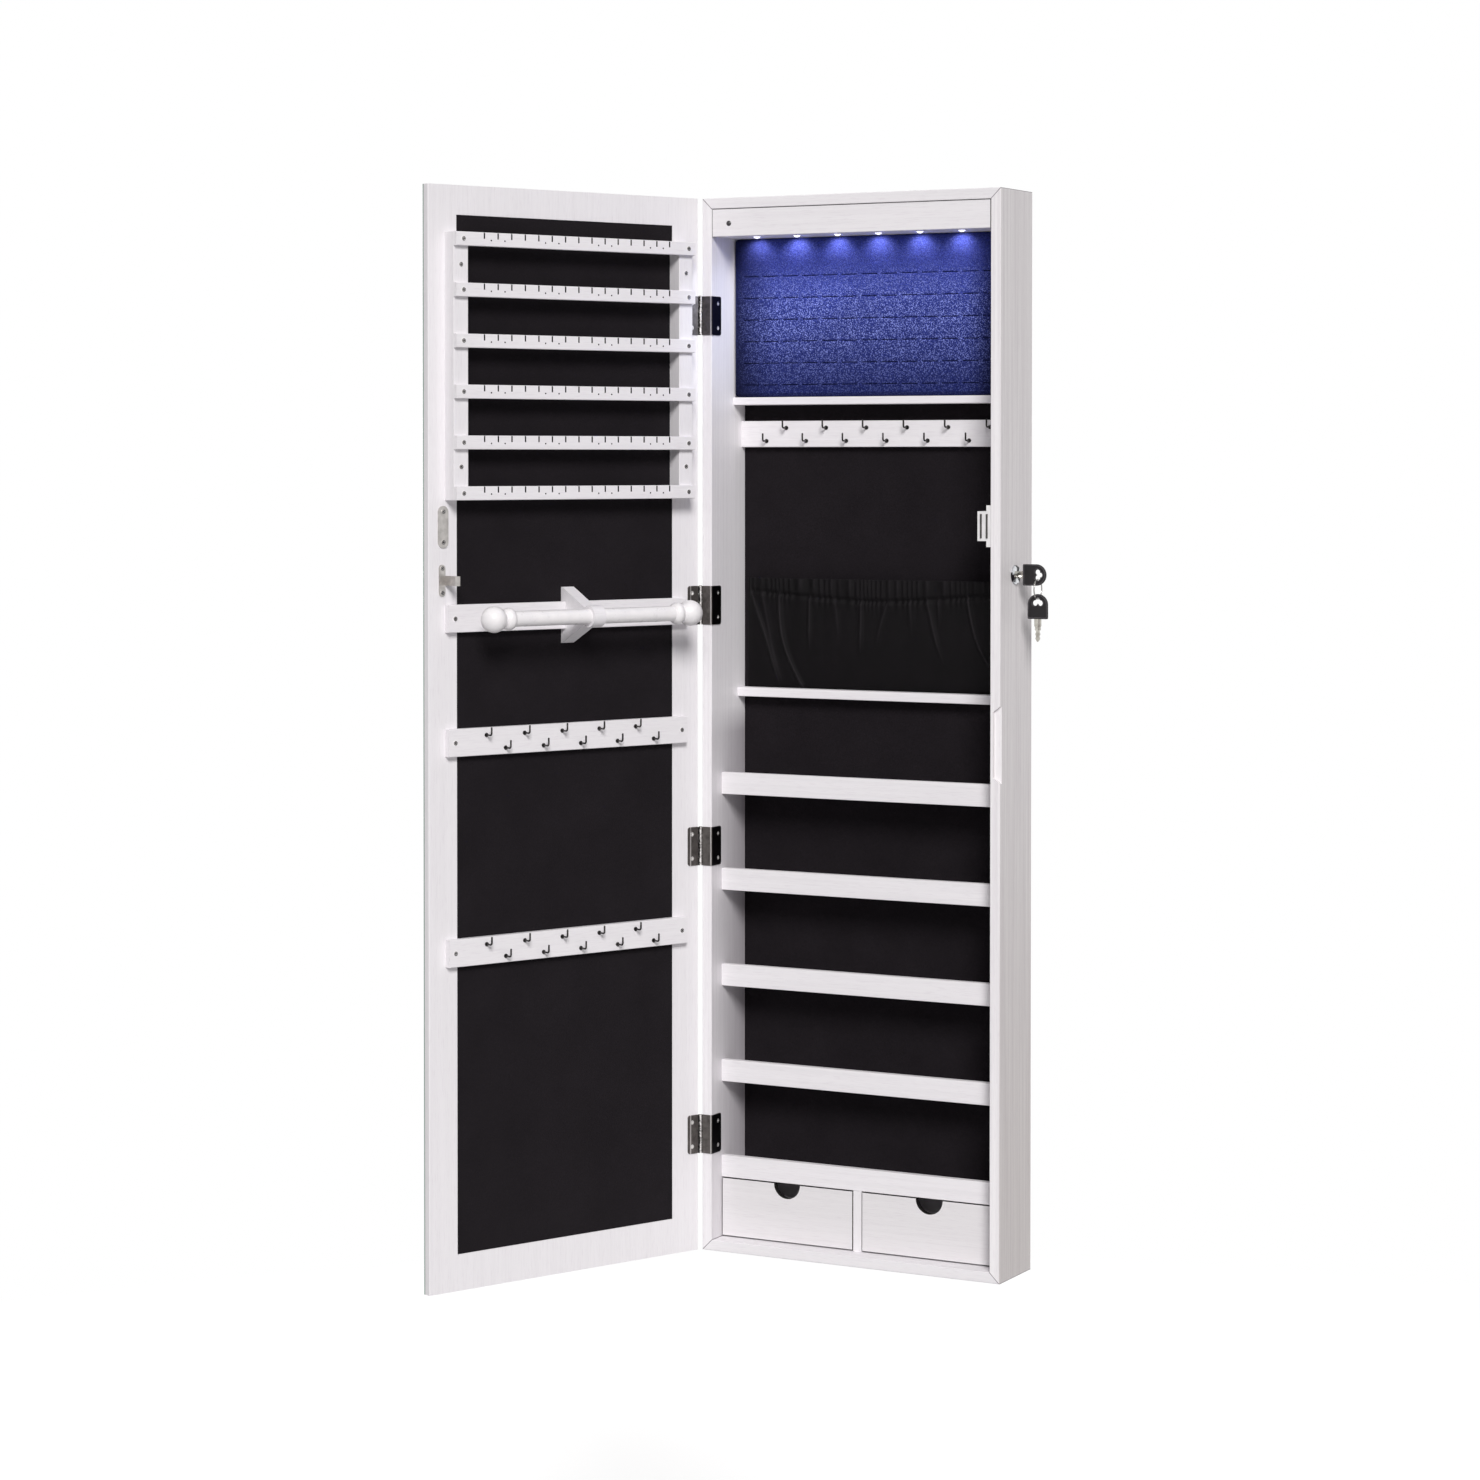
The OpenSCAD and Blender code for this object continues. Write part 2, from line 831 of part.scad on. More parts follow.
module light_strip() {
    len = (lights - 1) * light_pitch + 16;
    color("#2f5d3a")
        lift()
            translate([-len / 2, front_y + light_setback - strip_w / 2, tray_z + tray_t])
                cube([len, strip_w, strip_t]);
}

// Cylinder along +Z that ends in a shallow dome at its foot
module lens(r, len, dome) {
    ball = (r * r + dome * dome) / (2 * dome);
    rotate_extrude()
        intersection() {
            union() {
                square([r, len]);
                translate([0, ball - dome])
                    circle(ball);
            }
            translate([0, -dome])
                square([r, len + dome]);
        }
}

module light_lenses() {
    color("white")
        lift() {
            light_places()
                lens(lens_r, tray_t, lens_drop);
            translate([sensor_inset - inner_half, front_y + fascia_step, tray_z + sensor_rise])
                rotate([-90, 0, 0])
                    lens(sensor_r, fascia_t, 1.2);
        }
}

module battery_box() {
    x = inner_half - battery_len - 24;
    y = -back_t - batten_t - battery_w - 3;
    z = tray_z + tray_t;
    groove = 0.8;
    color("#303030")
        lift()
            difference() {
                translate([x, y, z])
                    cube([battery_len, battery_w, battery_h]);
                translate([x - 1, y - 1, z + battery_h * 0.7])
                    difference() {
                        cube([battery_len + 2, battery_w + 2, groove]);
                        translate([1 + groove, 1 + groove, -1])
                            cube([battery_len - 2 * groove, battery_w - 2 * groove, groove + 2]);
                    }
            }
}

module ring_cushion() {
    low = ring_shelf_z + ring_shelf_t + soft_gap;
    high = tray_z - soft_gap;
    wide = inner_w - 2 * soft_gap;
    depth = cushion_t - soft_gap;
    color("#2a2f7c")
        lift()
            difference() {
                intersection() {
                    translate([0, cushion_y, low])
                        cross_board(wide, depth, high - low, cushion_r);
                    translate([-wide / 2, cushion_y, low])
                        upright_board(high - low, depth, wide, cushion_r);
                }
                for (row = [0 : slit_rows - 1], i = [0 : slits - 1])
                    translate([
                        pair_x(i, slits, slit_pitch) - slit_len / 2,
                        cushion_y - 1,
                        low + slit_first + row * slit_row_pitch
                    ])
                        cube([slit_len, slit_depth + 1, slit_w]);
            }
}

module ring_shelf() {
    color(white)
        lift()
            translate([0, cushion_y, ring_shelf_z])
                cross_board(inner_w, cushion_t, ring_shelf_t, 0.8);
}

// Screw-in hook: foot plate, stem and upright end, stem along +Y
module hook() {
    bend = 2.5;
    rotate([-90, 0, 0]) {
        cylinder(r = hook_foot_r, h = 0.8);
        cylinder(r = hook_wire_r, h = hook_reach - bend);
    }
    translate([0, hook_reach - bend, bend])
        rotate([0, 90, 0])
            rotate_extrude(angle = 90)
                translate([bend, 0])
                    circle(hook_wire_r);
    translate([0, hook_reach, bend]) {
        cylinder(r = hook_wire_r, h = hook_rise - bend);
        translate([0, 0, hook_rise - bend])
            sphere(r = hook_wire_r);
    }
}

// Two staggered rows of places along a rail
module hook_places(count, z) {
    for (i = [0 : count - 1])
        translate([
            pair_x(i, count, hook_pitch),
            0,
            z + (i % 2 == 0 ? hook_low : rail_h - hook_high)
        ])
            children();
}

module necklace_rail() {
    color(white)
        lift()
            translate([0, lining_y - rail_t, necklace_z])
                rail(inner_w, rail_h, rail_t);
}

module necklace_hooks() {
    color(chrome)
        lift()
            translate([0, lining_y - rail_t, 0])
                hook_places(cabinet_hooks, necklace_z)
                    mirror([0, 1, 0])
                        hook();
}

// Gathered pocket: how far the cloth stands off the back wall
function pouch_rise(v) = 0.18 + 0.82 * sin(90 * min(1, v / 0.55));
function pouch_hem(v) = v < 0.87 ? 0 : sin(180 * (v - 0.87) / 0.13) * 0.12;
function pouch_off(u, v) =
    let (side = 1 - pow(abs(u), 10))
    soft_gap + cloth_t
    + pouch_bulge * side * (pouch_rise(v) - pouch_hem(v))
    + gather_depth * side * (0.15 + 0.85 * v) * (1 + cos(360 * gathers * (u + 0.05 * sin(300 * u)) / 2)) / 2;

module pouch() {
    cols = 84;
    rows = 6;
    wide = inner_w / 2 - pouch_inset;
    tall = pouch_h + ruffle_h;
    low = pouch_z + soft_gap;
    n = (cols + 1) * (rows + 1);
    function at(i, j, back) =
        let (u = 2 * i / cols - 1, v = j / rows)
        [wide * u, lining_y - pouch_off(u, v) + back, low + tall * v];
    outer = [for (j = [0 : rows], i = [0 : cols]) at(i, j, 0)];
    inner = [for (j = [0 : rows], i = [0 : cols]) at(i, j, cloth_t)];
    function id(i, j) = j * (cols + 1) + i;
    sheet = [for (j = [0 : rows - 1], i = [0 : cols - 1]) each [
        [id(i, j), id(i + 1, j + 1), id(i + 1, j)],
        [id(i, j), id(i, j + 1), id(i + 1, j + 1)],
        [n + id(i, j), n + id(i + 1, j), n + id(i + 1, j + 1)],
        [n + id(i, j), n + id(i + 1, j + 1), n + id(i, j + 1)]
    ]];
    rims = [for (i = [0 : cols - 1]) each [
        [id(i, 0), id(i + 1, 0), n + id(i + 1, 0)],
        [id(i, 0), n + id(i + 1, 0), n + id(i, 0)],
        [id(i, rows), n + id(i + 1, rows), id(i + 1, rows)],
        [id(i, rows), n + id(i, rows), n + id(i + 1, rows)]
    ]];
    ends = [for (j = [0 : rows - 1]) each [
        [id(0, j), n + id(0, j + 1), id(0, j + 1)],
        [id(0, j), n + id(0, j), n + id(0, j + 1)],
        [id(cols, j), id(cols, j + 1), n + id(cols, j + 1)],
        [id(cols, j), n + id(cols, j + 1), n + id(cols, j)]
    ]];
    color(black)
        lift()
            polyhedron(concat(outer, inner), concat(sheet, rims, ends));
}

module pouch_shelf() {
    color(white)
        lift()
            translate([0, lining_y - pouch_shelf_d, pouch_shelf_z])
                cross_board(inner_w, pouch_shelf_d, pouch_shelf_t, 0.8);
}

module shelf_boards() {
    color(white)
        lift()
            for (i = [1 : shelf_count])
                translate([-inner_half, guard_back, deck_z + i * shelf_pitch])
                    cube([inner_w, lining_y - guard_back, shelf_t]);
}

// Guards are counted from the top
module shelf_guard(i) {
    color(white)
        lift()
            translate([0, guard_y, deck_z + (shelf_count + 1 - i) * shelf_pitch])
                rail(inner_w, guard_h, guard_t);
}

module drawer_deck() {
    color(white)
        lift()
            translate([-inner_half, guard_back, deck_z])
                cube([inner_w, -back_t - guard_back, shelf_t]);
}

module drawer_rail() {
    color(white)
        lift()
            translate([0, guard_y, deck_z])
                rail(inner_w, guard_h, guard_t);
}

module drawer_divider() {
    color(white)
        lift()
            translate([-divider_t / 2, guard_y, panel_t])
                cube([divider_t, -back_t - guard_y, drawer_h]);
}

bay_w = (inner_w - divider_t) / 2;
bay_x = (divider_t + bay_w) / 2;
drawer_w = bay_w - 2 * drawer_gap;

module drawer_front(side) {
    tall = drawer_h - 2 * drawer_gap;
    color(white)
        lift()
            translate([side * bay_x, guard_y, panel_t + drawer_gap])
                difference() {
                    rail(drawer_w, tall, drawer_front_t);
                    translate([0, -1, tall])
                        rotate([-90, 0, 0])
                            cylinder(r = notch_r, h = drawer_front_t + 2);
                }
}

module drawer_box(side) {
    low = panel_t + drawer_lift;
    tall = drawer_h - drawer_gap - drawer_side_drop;
    long = -back_t - 1 - guard_y - drawer_front_t;
    color(white)
        lift()
            translate([side * bay_x - drawer_w / 2, guard_y + drawer_front_t, low])
                difference() {
                    cube([drawer_w, long, tall]);
                    translate([drawer_side_t, -1, drawer_floor_t])
                        cube([drawer_w - 2 * drawer_side_t, long + 1 - drawer_side_t, tall]);
                }
}

module catch_body() {
    color("white")
        lift()
            difference() {
                union() {
                    translate([inner_half - catch_w, catch_y, catch_z - catch_h / 2])
                        cube([catch_w, catch_d, catch_h]);
                    translate([inner_half - ear_t, catch_y, catch_z - ear_span / 2])
                        cube([ear_t, ear_d, ear_span]);
                }
                magnet_shape(0.1);
                catch_screw_places()
                    screw_hole();
            }
}

// Magnet block between two steel pole plates
module magnet_shape(play) {
    tall = catch_h - 6;
    mid = inner_half - catch_w / 2;
    for (side = [-1, 1])
        translate([
            mid + side * pole_pitch / 2 - pole_t / 2 - play,
            catch_y - pole_proud,
            catch_z - tall / 2 - play
        ])
            cube([pole_t + 2 * play, catch_d * 0.7 + pole_proud + play, tall + 2 * play]);
    translate([mid - pole_pitch / 2, catch_y + 2 - play, catch_z - tall / 2 - play])
        cube([pole_pitch, catch_d * 0.7 - 2 + 2 * play, tall + 2 * play]);
}

module catch_magnet() {
    color("#4a4846")
        lift()
            magnet_shape(0);
}

module lock_housing() {
    long = panel_t + lock_inside;
    color(chrome)
        lift()
            on_lock(lock_end)
                rotate_extrude()
                    polygon([
                        [plug_r + plug_play, 0], [lock_r, 0], [lock_r, long],
                        [collar_r, long], [collar_r, long + collar_t * 0.5],
                        [collar_r - 1.5, long + collar_t], [plug_r + plug_play, long + collar_t]
                    ]);
}

module lock_nut() {
    color(chrome)
        lift()
            on_lock(inner_half - nut_t)
                difference() {
                    rotate([0, 0, 30])
                        cylinder(r = nut_r, h = nut_t, $fn = 6);
                    translate([0, 0, -1])
                        cylinder(r = lock_r + lock_play, h = nut_t + 2);
                }
}

module lock_plug() {
    face = half_w + collar_t - 0.3;
    back = lock_end - 0.2;
    color(chrome)
        lift()
            difference() {
                union() {
                    on_lock(back)
                        cylinder(r = plug_r, h = face - back);
                    translate([cam_x - 0.1, lock_y - square_w / 2, lock_z - square_w / 2])
                        cube([back - cam_x + 0.2, square_w, square_w]);
                }
                translate([
                    head_x - blade_len - 1.5,
                    lock_y - blade_t / 2 - key_play,
                    lock_z - blade_w / 2 - key_play
                ])
                    cube([blade_len + 10, blade_t + 2 * key_play, blade_w + 2 * key_play]);
                on_lock(cam_x - 1)
                    cylinder(r = screw_r + screw_play, h = 6);
            }
}

// Drawn unlocked: the arm stands up and its hook points to the door
module lock_cam() {
    nose_in = tongue_tip - lock_y - keeper_t - lip_gap;
    nose_low = -(tongue_rise + 0.5) + tongue_h * 0.7;
    arm_low = tongue_rise + 0.6;
    color(steel)
        lift()
            difference() {
                translate([cam_x, lock_y, lock_z])
                    rotate([90, 0, 90])
                        linear_extrude(cam_t)
                            union() {
                                circle(cam_hub_r);
                                translate([arm_low, 0])
                                    square([cam_arm_w, cam_reach]);
                                translate([-nose_low, -nose_in])
                                    square([nose_low + arm_low + cam_arm_w, cam_reach + nose_in]);
                            }
                translate([cam_x - 1, lock_y - square_w / 2 - 0.1, lock_z - square_w / 2 - 0.1])
                    cube([cam_t + 2, square_w + 0.2, square_w + 0.2]);
            }
}

module cam_screw() {
    color(steel)
        lift()
            on_lock(cam_x - 0.2)
                mirror([0, 0, 1]) {
                    cylinder(r = screw_head_r + 1, h = 1.6);
                    translate([0, 0, -4])
                        cylinder(r = screw_r, h = 4.5);
                }
}

// Heart-shaped hole: two lobes side by side to -X, its tip to +X
module heart() {
    for (side = [-1, 1])
        translate([-lobe_back, side * lobe_side])
            circle(lobe_r);
    translate([tip_out, 0])
        circle(tip_r);
    translate([-lobe_back, -tip_r])
        square([lobe_back + tip_out, 2 * tip_r]);
}

// Key along +X in the XZ plane: the head starts at x = 0 and the blade points to -X
module key_shape() {
    straight = head_len - head_w / 2;
    step = blade_w * 0.14;
    rotate([90, 0, 0]) {
        translate([0, 0, -head_t / 2])
            linear_extrude(head_t)
                difference() {
                    union() {
                        translate([0, -head_w / 2])
                            square([straight, head_w]);
                        translate([straight, 0])
                            circle(head_w / 2);
                    }
                    translate([head_len - hole_inset, 0])
                        heart();
                }
        translate([0, 0, -blade_t / 2])
            linear_extrude(blade_t)
                polygon([
                    [0.5, -blade_w / 2], [0.5, blade_w / 2],
                    [-blade_len * 0.3, blade_w / 2], [-blade_len * 0.38, blade_w / 2 - step],
                    [-blade_len * 0.46, blade_w / 2 - step / 2], [-blade_len * 0.56, blade_w / 2 - 2 * step],
                    [-blade_len * 0.66, blade_w / 2 - step], [-blade_len * 0.76, blade_w / 2 - 2 * step],
                    [-blade_len * 0.86, blade_w / 2 - step], [-blade_len, 0.5],
                    [-blade_len, -0.5], [-blade_len * 0.86, step - blade_w / 2],
                    [-blade_len * 0.76, 2 * step - blade_w / 2], [-blade_len * 0.66, step - blade_w / 2],
                    [-blade_len * 0.56, 2 * step - blade_w / 2], [-blade_len * 0.46, step / 2 - blade_w / 2],
                    [-blade_len * 0.38, step - blade_w / 2], [-blade_len * 0.3, -blade_w / 2]
                ]);
    }
}

module key() {
    color(black)
        lift()
            translate([head_x, lock_y, lock_z])
                key_shape();
}

module key_ring() {
    color(steel)
        lift()
            translate([wire_x, lock_y, ring_z])
                rotate([0, 90, 0])
                    rotate_extrude()
                        translate([ring_r, 0])
                            circle(ring_wire_r, $fn = 24);
}

module spare_key() {
    color(black)
        lift()
            translate([wire_x, lock_y, spare_hole_z])
                rotate([0, -90, 0])
                    translate([hole_inset - head_len, 0, 0])
                        key_shape();
}

// Outline of a leaf's plate, its two far corners rounded
module leaf_face(wide, r) {
    translate([0, -hinge_h / 2])
        square([wide - r, hinge_h]);
    translate([wide - 2 * r, r - hinge_h / 2])
        square([2 * r, hinge_h - 2 * r]);
    for (side = [-1, 1])
        translate([wide - r, side * (hinge_h / 2 - r)])
            circle(r);
}

// One leaf of a hinge, drawn about the pin, its plate to +X and +Y.
// first is 0 for the leaf with the outer knuckles and 1 for the other.
module leaf(first, plate_end, corner_r) {
    bore = pin_r + pin_play;
    inner = barrel_r + 0.2;
    step = knuckle_h + knuckle_gap;
    low = door_gap / 2 - leaf_t;
    difference() {
        union() {
            translate([inner, low + leaf_t, 0])
                rotate([90, 0, 0])
                    linear_extrude(leaf_t)
                        leaf_face(plate_end - inner, corner_r);
            for (i = [first : 2 : knuckles - 1])
                translate([0, 0, i * step - hinge_h / 2]) {
                    cylinder(r = barrel_r, h = knuckle_h);
                    translate([0, low, 0])
                        cube([inner + 0.5, leaf_t, knuckle_h]);
                }
        }
        translate([0, 0, -hinge_h])
            cylinder(r = bore, h = 2 * hinge_h);
    }
}

module wrap_leaves() {
    corner = pin_out + panel_t;
    color(steel)
        lift()
            difference() {
                for (z = hinge_z)
                    translate([pin_x, pin_y, z]) {
                        leaf(0, corner + leaf_t, leaf_t);
                        translate([corner, door_gap / 2 - leaf_t, 0])
                            rotate([90, 0, 90])
                                linear_extrude(leaf_t)
                                    leaf_face(wrap_w + leaf_t, leaf_corner_r);
                    }
                wrap_screw_places()
                    cone_hole();
            }
}

module hinge_pins() {
    color(steel)
        lift()
            for (z = hinge_z)
                translate([pin_x, pin_y, z - hinge_h / 2]) {
                    cylinder(r = pin_r, h = hinge_h);
                    translate([0, 0, hinge_h])
                        cylinder(r1 = barrel_r * 0.95, r2 = barrel_r * 0.6, h = 0.8);
                }
}

module door_leaves() {
    color(steel)
        on_door()
            difference() {
                for (z = hinge_z)
                    translate([pin_x, pin_y, z])
                        mirror([0, 1, 0])
                            leaf(1, pin_out + leaf_w, leaf_corner_r);
                leaf_screw_places()
                    cone_hole();
            }
}

module leaf_screw_places() {
    for (z = hinge_z, side = [-1, 1])
        translate([
            -half_w + leaf_w * 0.6,
            door_in + leaf_t - screw_head_h,
            z + side * leaf_screw_z
        ])
            rotate([-90, 0, 0])
                children();
}

module slat_screw_places() {
    for (side = [-1, 1], i = [0 : slat_count - 1])
        translate([
            side * (rack_half - stile_w / 2),
            slat_y + slat_t,
            rack_top - slat_h / 2 - i * slat_pitch
        ])
            rotate([-90, 0, 0])
                children();
}

module stile_screw_places() {
    for (side = [-1, 1], z = [rack_bottom + slat_h + 21, rack_top - slat_h - 20])
        translate([side * (rack_half - stile_w / 2), slat_y, z])
            rotate([-90, 0, 0])
                children();
}

module rail_screw_places() {
    for (side = [-1, 1], z = [bangle_z, upper_rail_z, lower_rail_z])
        translate([side * (rack_half - 8), door_in + rail_t, z + rail_h / 2])
            rotate([-90, 0, 0])
                children();
}

module strike_screw_places() {
    for (side = [-1, 1])
        translate([strike_x, door_in + strike_t, catch_z + side * strike_screws / 2])
            rotate([-90, 0, 0])
                children();
}

keeper_x = tongue_x + keeper_w / 2;
keeper_z = lock_z + tongue_rise - tongue_h / 2;

module keeper_screw_places() {
    for (side = [-1, 1])
        translate([keeper_x, door_in + keeper_t, keeper_z + side * (keeper_h / 2 - keeper_w / 2)])
            rotate([-90, 0, 0])
                children();
}

// A longer screw for the places where wood is fixed through wood
module long_screw(extra) {
    wood_screw();
    translate([0, 0, -extra - screw_bite])
        cylinder(r = screw_r, h = extra + screw_bite);
}

module long_hole(extra) {
    translate([0, 0, -extra - screw_bite - 0.5])
        cylinder(r = screw_r + screw_play, h = extra + screw_bite + 1.5);
}

module door_screws() {
    color("#5a5654")
        on_door() {
            slat_screw_places()
                long_screw(slat_t);
            stile_screw_places()
                long_screw(stile_d);
            rail_screw_places()
                long_screw(rail_t);
            leaf_screw_places()
                cone_screw();
            strike_screw_places()
                wood_screw();
            keeper_screw_places()
                wood_screw();
        }
}

module door_panel() {
    color(white)
        on_door()
            difference() {
                translate([-half_w, door_in, 0])
                    mirror([0, 1, 0])
                        upright_board(cabinet_h, door_board_t, cabinet_w, edge_r);
                lining_space(lining_bed, 0);
                stile_screw_places()
                    long_hole(stile_d);
                rail_screw_places()
                    long_hole(rail_t);
                leaf_screw_places()
                    cone_hole();
                strike_screw_places()
                    screw_hole();
                keeper_screw_places()
                    screw_hole();
            }
}

module lining_space(deep, play) {
    translate([-half_w + lining_side + play, door_in - lining_bed, lining_bottom + play])
        cube([
            cabinet_w - 2 * lining_side - 2 * play,
            deep + (play == 0 ? 1 : 0),
            cabinet_h - lining_top - lining_bottom - 2 * play
        ]);
}

module mirror_glass() {
    color("#b9c4cc")
        on_door()
            translate([-half_w, door_out, 0])
                upright_board(cabinet_h, mirror_t, cabinet_w, 0.8);
}

module door_lining() {
    color(black)
        on_door()
            lining_space(lining_bed - lining_sink, board_play);
}

module earring_stiles() {
    color(white)
        on_door()
            difference() {
                for (side = [-1, 1])
                    translate([side * rack_half - (side + 1) / 2 * stile_w, slat_y, rack_bottom])
                        mirror([0, 1, 0])
                            upright_board(rack_top - rack_bottom, stile_d, stile_w, 0.8);
                slat_screw_places()
                    long_hole(slat_t);
                stile_screw_places()
                    long_hole(stile_d);
            }
}

module slat() {
    difference() {
        translate([0, slat_t, 0])
            mirror([0, 1, 0])
                rail(2 * rack_half, slat_h, slat_t);
        for (i = [0 : slots - 1])
            translate([pair_x(i, slots, slot_pitch) - slot_w / 2, -1, slat_h - slot_depth])
                cube([slot_w, slat_t + 2, slot_depth + 1]);
        for (i = [0 : slots - 2])
            if (i % 4 < 2)
                translate([
                    pair_x(i, slots, slot_pitch) + slot_pitch / 2,
                    -1,
                    slat_h - stud_hole_drop
                ])
                    rotate([-90, 0, 0])
                        cylinder(r = stud_hole_r, h = slat_t + 2);
    }
}

module earring_slats() {
    color(white)
        on_door()
            difference() {
                for (i = [0 : slat_count - 1])
                    translate([0, slat_y, rack_top - slat_h - i * slat_pitch])
                        slat();
                slat_screw_places()
                    screw_hole();
            }
}

module bangle_rail() {
    color(white)
        on_door()
            difference() {
                door_rail(bangle_z);
                rail_screw_places()
                    long_hole(rail_t);
            }
}

module bangle_bracket() {
    arm = rod_reach - 7;
    color(white)
        on_door()
            difference() {
                union() {
                    translate([-bracket_t / 2, door_in - lining_sink, rod_z])
                        rotate([90, 0, 90])
                            linear_extrude(bracket_t)
                                polygon([
                                    [0, -bracket_h / 2], [2, -bracket_h / 2], [arm, 2 - hub_r],
                                    [arm, hub_r - 2], [2, bracket_h / 2], [0, bracket_h / 2]
                                ]);
                    translate([-bracket_t / 2, rod_y, rod_z])
                        rotate([0, 90, 0])
                            cylinder(r = hub_r, h = bracket_t);
                }
                translate([-bracket_t, rod_y, rod_z])
                    rotate([0, 90, 0])
                        cylinder(r = rod_r + rod_play, h = 2 * bracket_t);
                translate([-bracket_t, door_in - 1, bangle_z - board_play])
                    cube([2 * bracket_t, rail_t + 1 + board_play, rail_h + 2 * board_play]);
            }
}

// Turned rod with a bead and a ball at each end
module bangle_rod() {
    half = rod_len / 2;
    bead_x = half - ball_r * 0.8 - bead_len / 2 - 1;
    swell = (pow(bead_r - rod_r + 2, 2) + pow(bead_len / 2, 2)) / (2 * (bead_r - rod_r + 2));
    color("white")
        on_door()
            translate([0, rod_y, rod_z])
                rotate([0, 90, 0])
                    rotate_extrude()
                        intersection() {
                            union() {
                                translate([0, -half])
                                    square([rod_r, rod_len]);
                                for (side = [-1, 1]) {
                                    translate([0, side * half])
                                        circle(ball_r);
                                    intersection() {
                                        translate([bead_r - swell, side * bead_x])
                                            circle(swell);
                                        translate([0, side * bead_x - bead_len / 2])
                                            square([bead_r, bead_len]);
                                    }
                                }
                            }
                            translate([0, -half - 2 * ball_r])
                                square([2 * ball_r, rod_len + 4 * ball_r]);
                        }
}

module upper_hook_rail() {
    color(white)
        on_door()
            difference() {
                door_rail(upper_rail_z);
                rail_screw_places()
                    long_hole(rail_t);
            }
}

module lower_hook_rail() {
    color(white)
        on_door()
            difference() {
                door_rail(lower_rail_z);
                rail_screw_places()
                    long_hole(rail_t);
            }
}

module door_hooks() {
    color(chrome)
        on_door()
            translate([0, door_in + rail_t, 0])
                for (z = [upper_rail_z, lower_rail_z])
                    hook_places(rail_hooks, z)
                        hook();
}

// Flat plate with round ends, standing up
module round_plate(w, h, t) {
    rotate([-90, 0, 0])
        linear_extrude(t)
            union() {
                square([w, h - w], center = true);
                for (side = [-1, 1])
                    translate([0, side * (h - w) / 2])
                        circle(w / 2);
            }
}

module strike_plate() {
    color(steel)
        on_door()
            difference() {
                translate([strike_x, door_in, catch_z])
                    round_plate(strike_w, ear_span, strike_t);
                strike_screw_places()
                    screw_hole();
            }
}

module lock_keeper() {
    color(steel)
        on_door()
            difference() {
                union() {
                    translate([keeper_x, door_in, keeper_z])
                        round_plate(keeper_w, keeper_h, keeper_t);
                    translate([tongue_x - keeper_t, door_in, keeper_z - tongue_h / 2])
                        cube([keeper_t, tongue_len, tongue_h]);
                    translate([tongue_x - keeper_t, door_in, keeper_z - tongue_h / 2])
                        cube([keeper_w / 2, keeper_t, tongue_h]);
                    translate([tongue_x - keeper_t, tongue_tip - keeper_t, keeper_z - tongue_h / 2])
                        cube([keeper_t + lip_len, keeper_t, tongue_h]);
                }
                keeper_screw_places()
                    screw_hole();
            }
}

left_side_panel();
right_side_panel();
top_panel();
bottom_panel();
back_panel();
back_lining();
hanging_batten();
hanger_plates();
light_fascia();
light_tray();
light_strip();
light_lenses();
battery_box();
ring_cushion();
ring_shelf();
necklace_rail();
necklace_hooks();
pouch();
pouch_shelf();
shelf_boards();
shelf_guard(1);  // shelf_guard_1
shelf_guard(2);  // shelf_guard_2
shelf_guard(3);  // shelf_guard_3
shelf_guard(4);  // shelf_guard_4
drawer_deck();
drawer_rail();
drawer_divider();
drawer_front(-1);  // left_drawer_front
drawer_box(-1);  // left_drawer_box
drawer_front(1);  // right_drawer_front
drawer_box(1);  // right_drawer_box
catch_body();
catch_magnet();
lock_housing();
lock_nut();
lock_plug();
lock_cam();
cam_screw();
key();
key_ring();
spare_key();
wrap_leaves();
hinge_pins();
cabinet_screws();
door_panel();
mirror_glass();  // mirror
door_lining();
earring_stiles();
earring_slats();
bangle_rail();
bangle_bracket();
bangle_rod();
upper_hook_rail();
lower_hook_rail();
door_hooks();
door_leaves();
strike_plate();
lock_keeper();
door_screws();
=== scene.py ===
# %% [markdown]
# # A wall cabinet for jewelry, its mirror door open
#
# The cabinet's boards, hinges, lock and hooks come ready made from the CAD model, as a
# frame that stays where it is. This file dresses that frame. It gives every board, plate
# and screw its real finish, and it makes the pieces that CAD draws too plainly: the velvet
# ring cushion, the gathered cloth pocket, the keys on their split ring and the screw heads.
# Everything is in metres, with the wall at Y = 0 and the front towards -Y.

# %% Load the frame
import math

import bpy
import numpy as np
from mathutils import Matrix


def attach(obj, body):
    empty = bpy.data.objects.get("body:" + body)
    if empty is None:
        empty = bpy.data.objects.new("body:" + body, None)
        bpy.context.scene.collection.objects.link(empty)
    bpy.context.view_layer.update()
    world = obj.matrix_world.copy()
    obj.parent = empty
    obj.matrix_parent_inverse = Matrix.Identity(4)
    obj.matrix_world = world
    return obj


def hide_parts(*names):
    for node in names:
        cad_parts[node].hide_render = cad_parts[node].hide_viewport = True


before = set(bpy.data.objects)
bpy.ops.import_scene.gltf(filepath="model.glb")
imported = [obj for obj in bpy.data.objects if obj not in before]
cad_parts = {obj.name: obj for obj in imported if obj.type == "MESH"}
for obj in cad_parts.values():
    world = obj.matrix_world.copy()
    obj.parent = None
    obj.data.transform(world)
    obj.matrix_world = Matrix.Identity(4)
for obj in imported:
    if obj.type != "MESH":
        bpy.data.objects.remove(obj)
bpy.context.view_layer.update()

mm = 0.001

# %% [markdown]
# ## Sizes that several pieces share
#
# A new piece sits where its CAD solid sits, so the few sizes that it needs are written here
# once, in millimetres from the middle of the cabinet's back. The door is drawn shut and
# then swung open about its hinge pins, so whatever belongs to it takes the same turn.

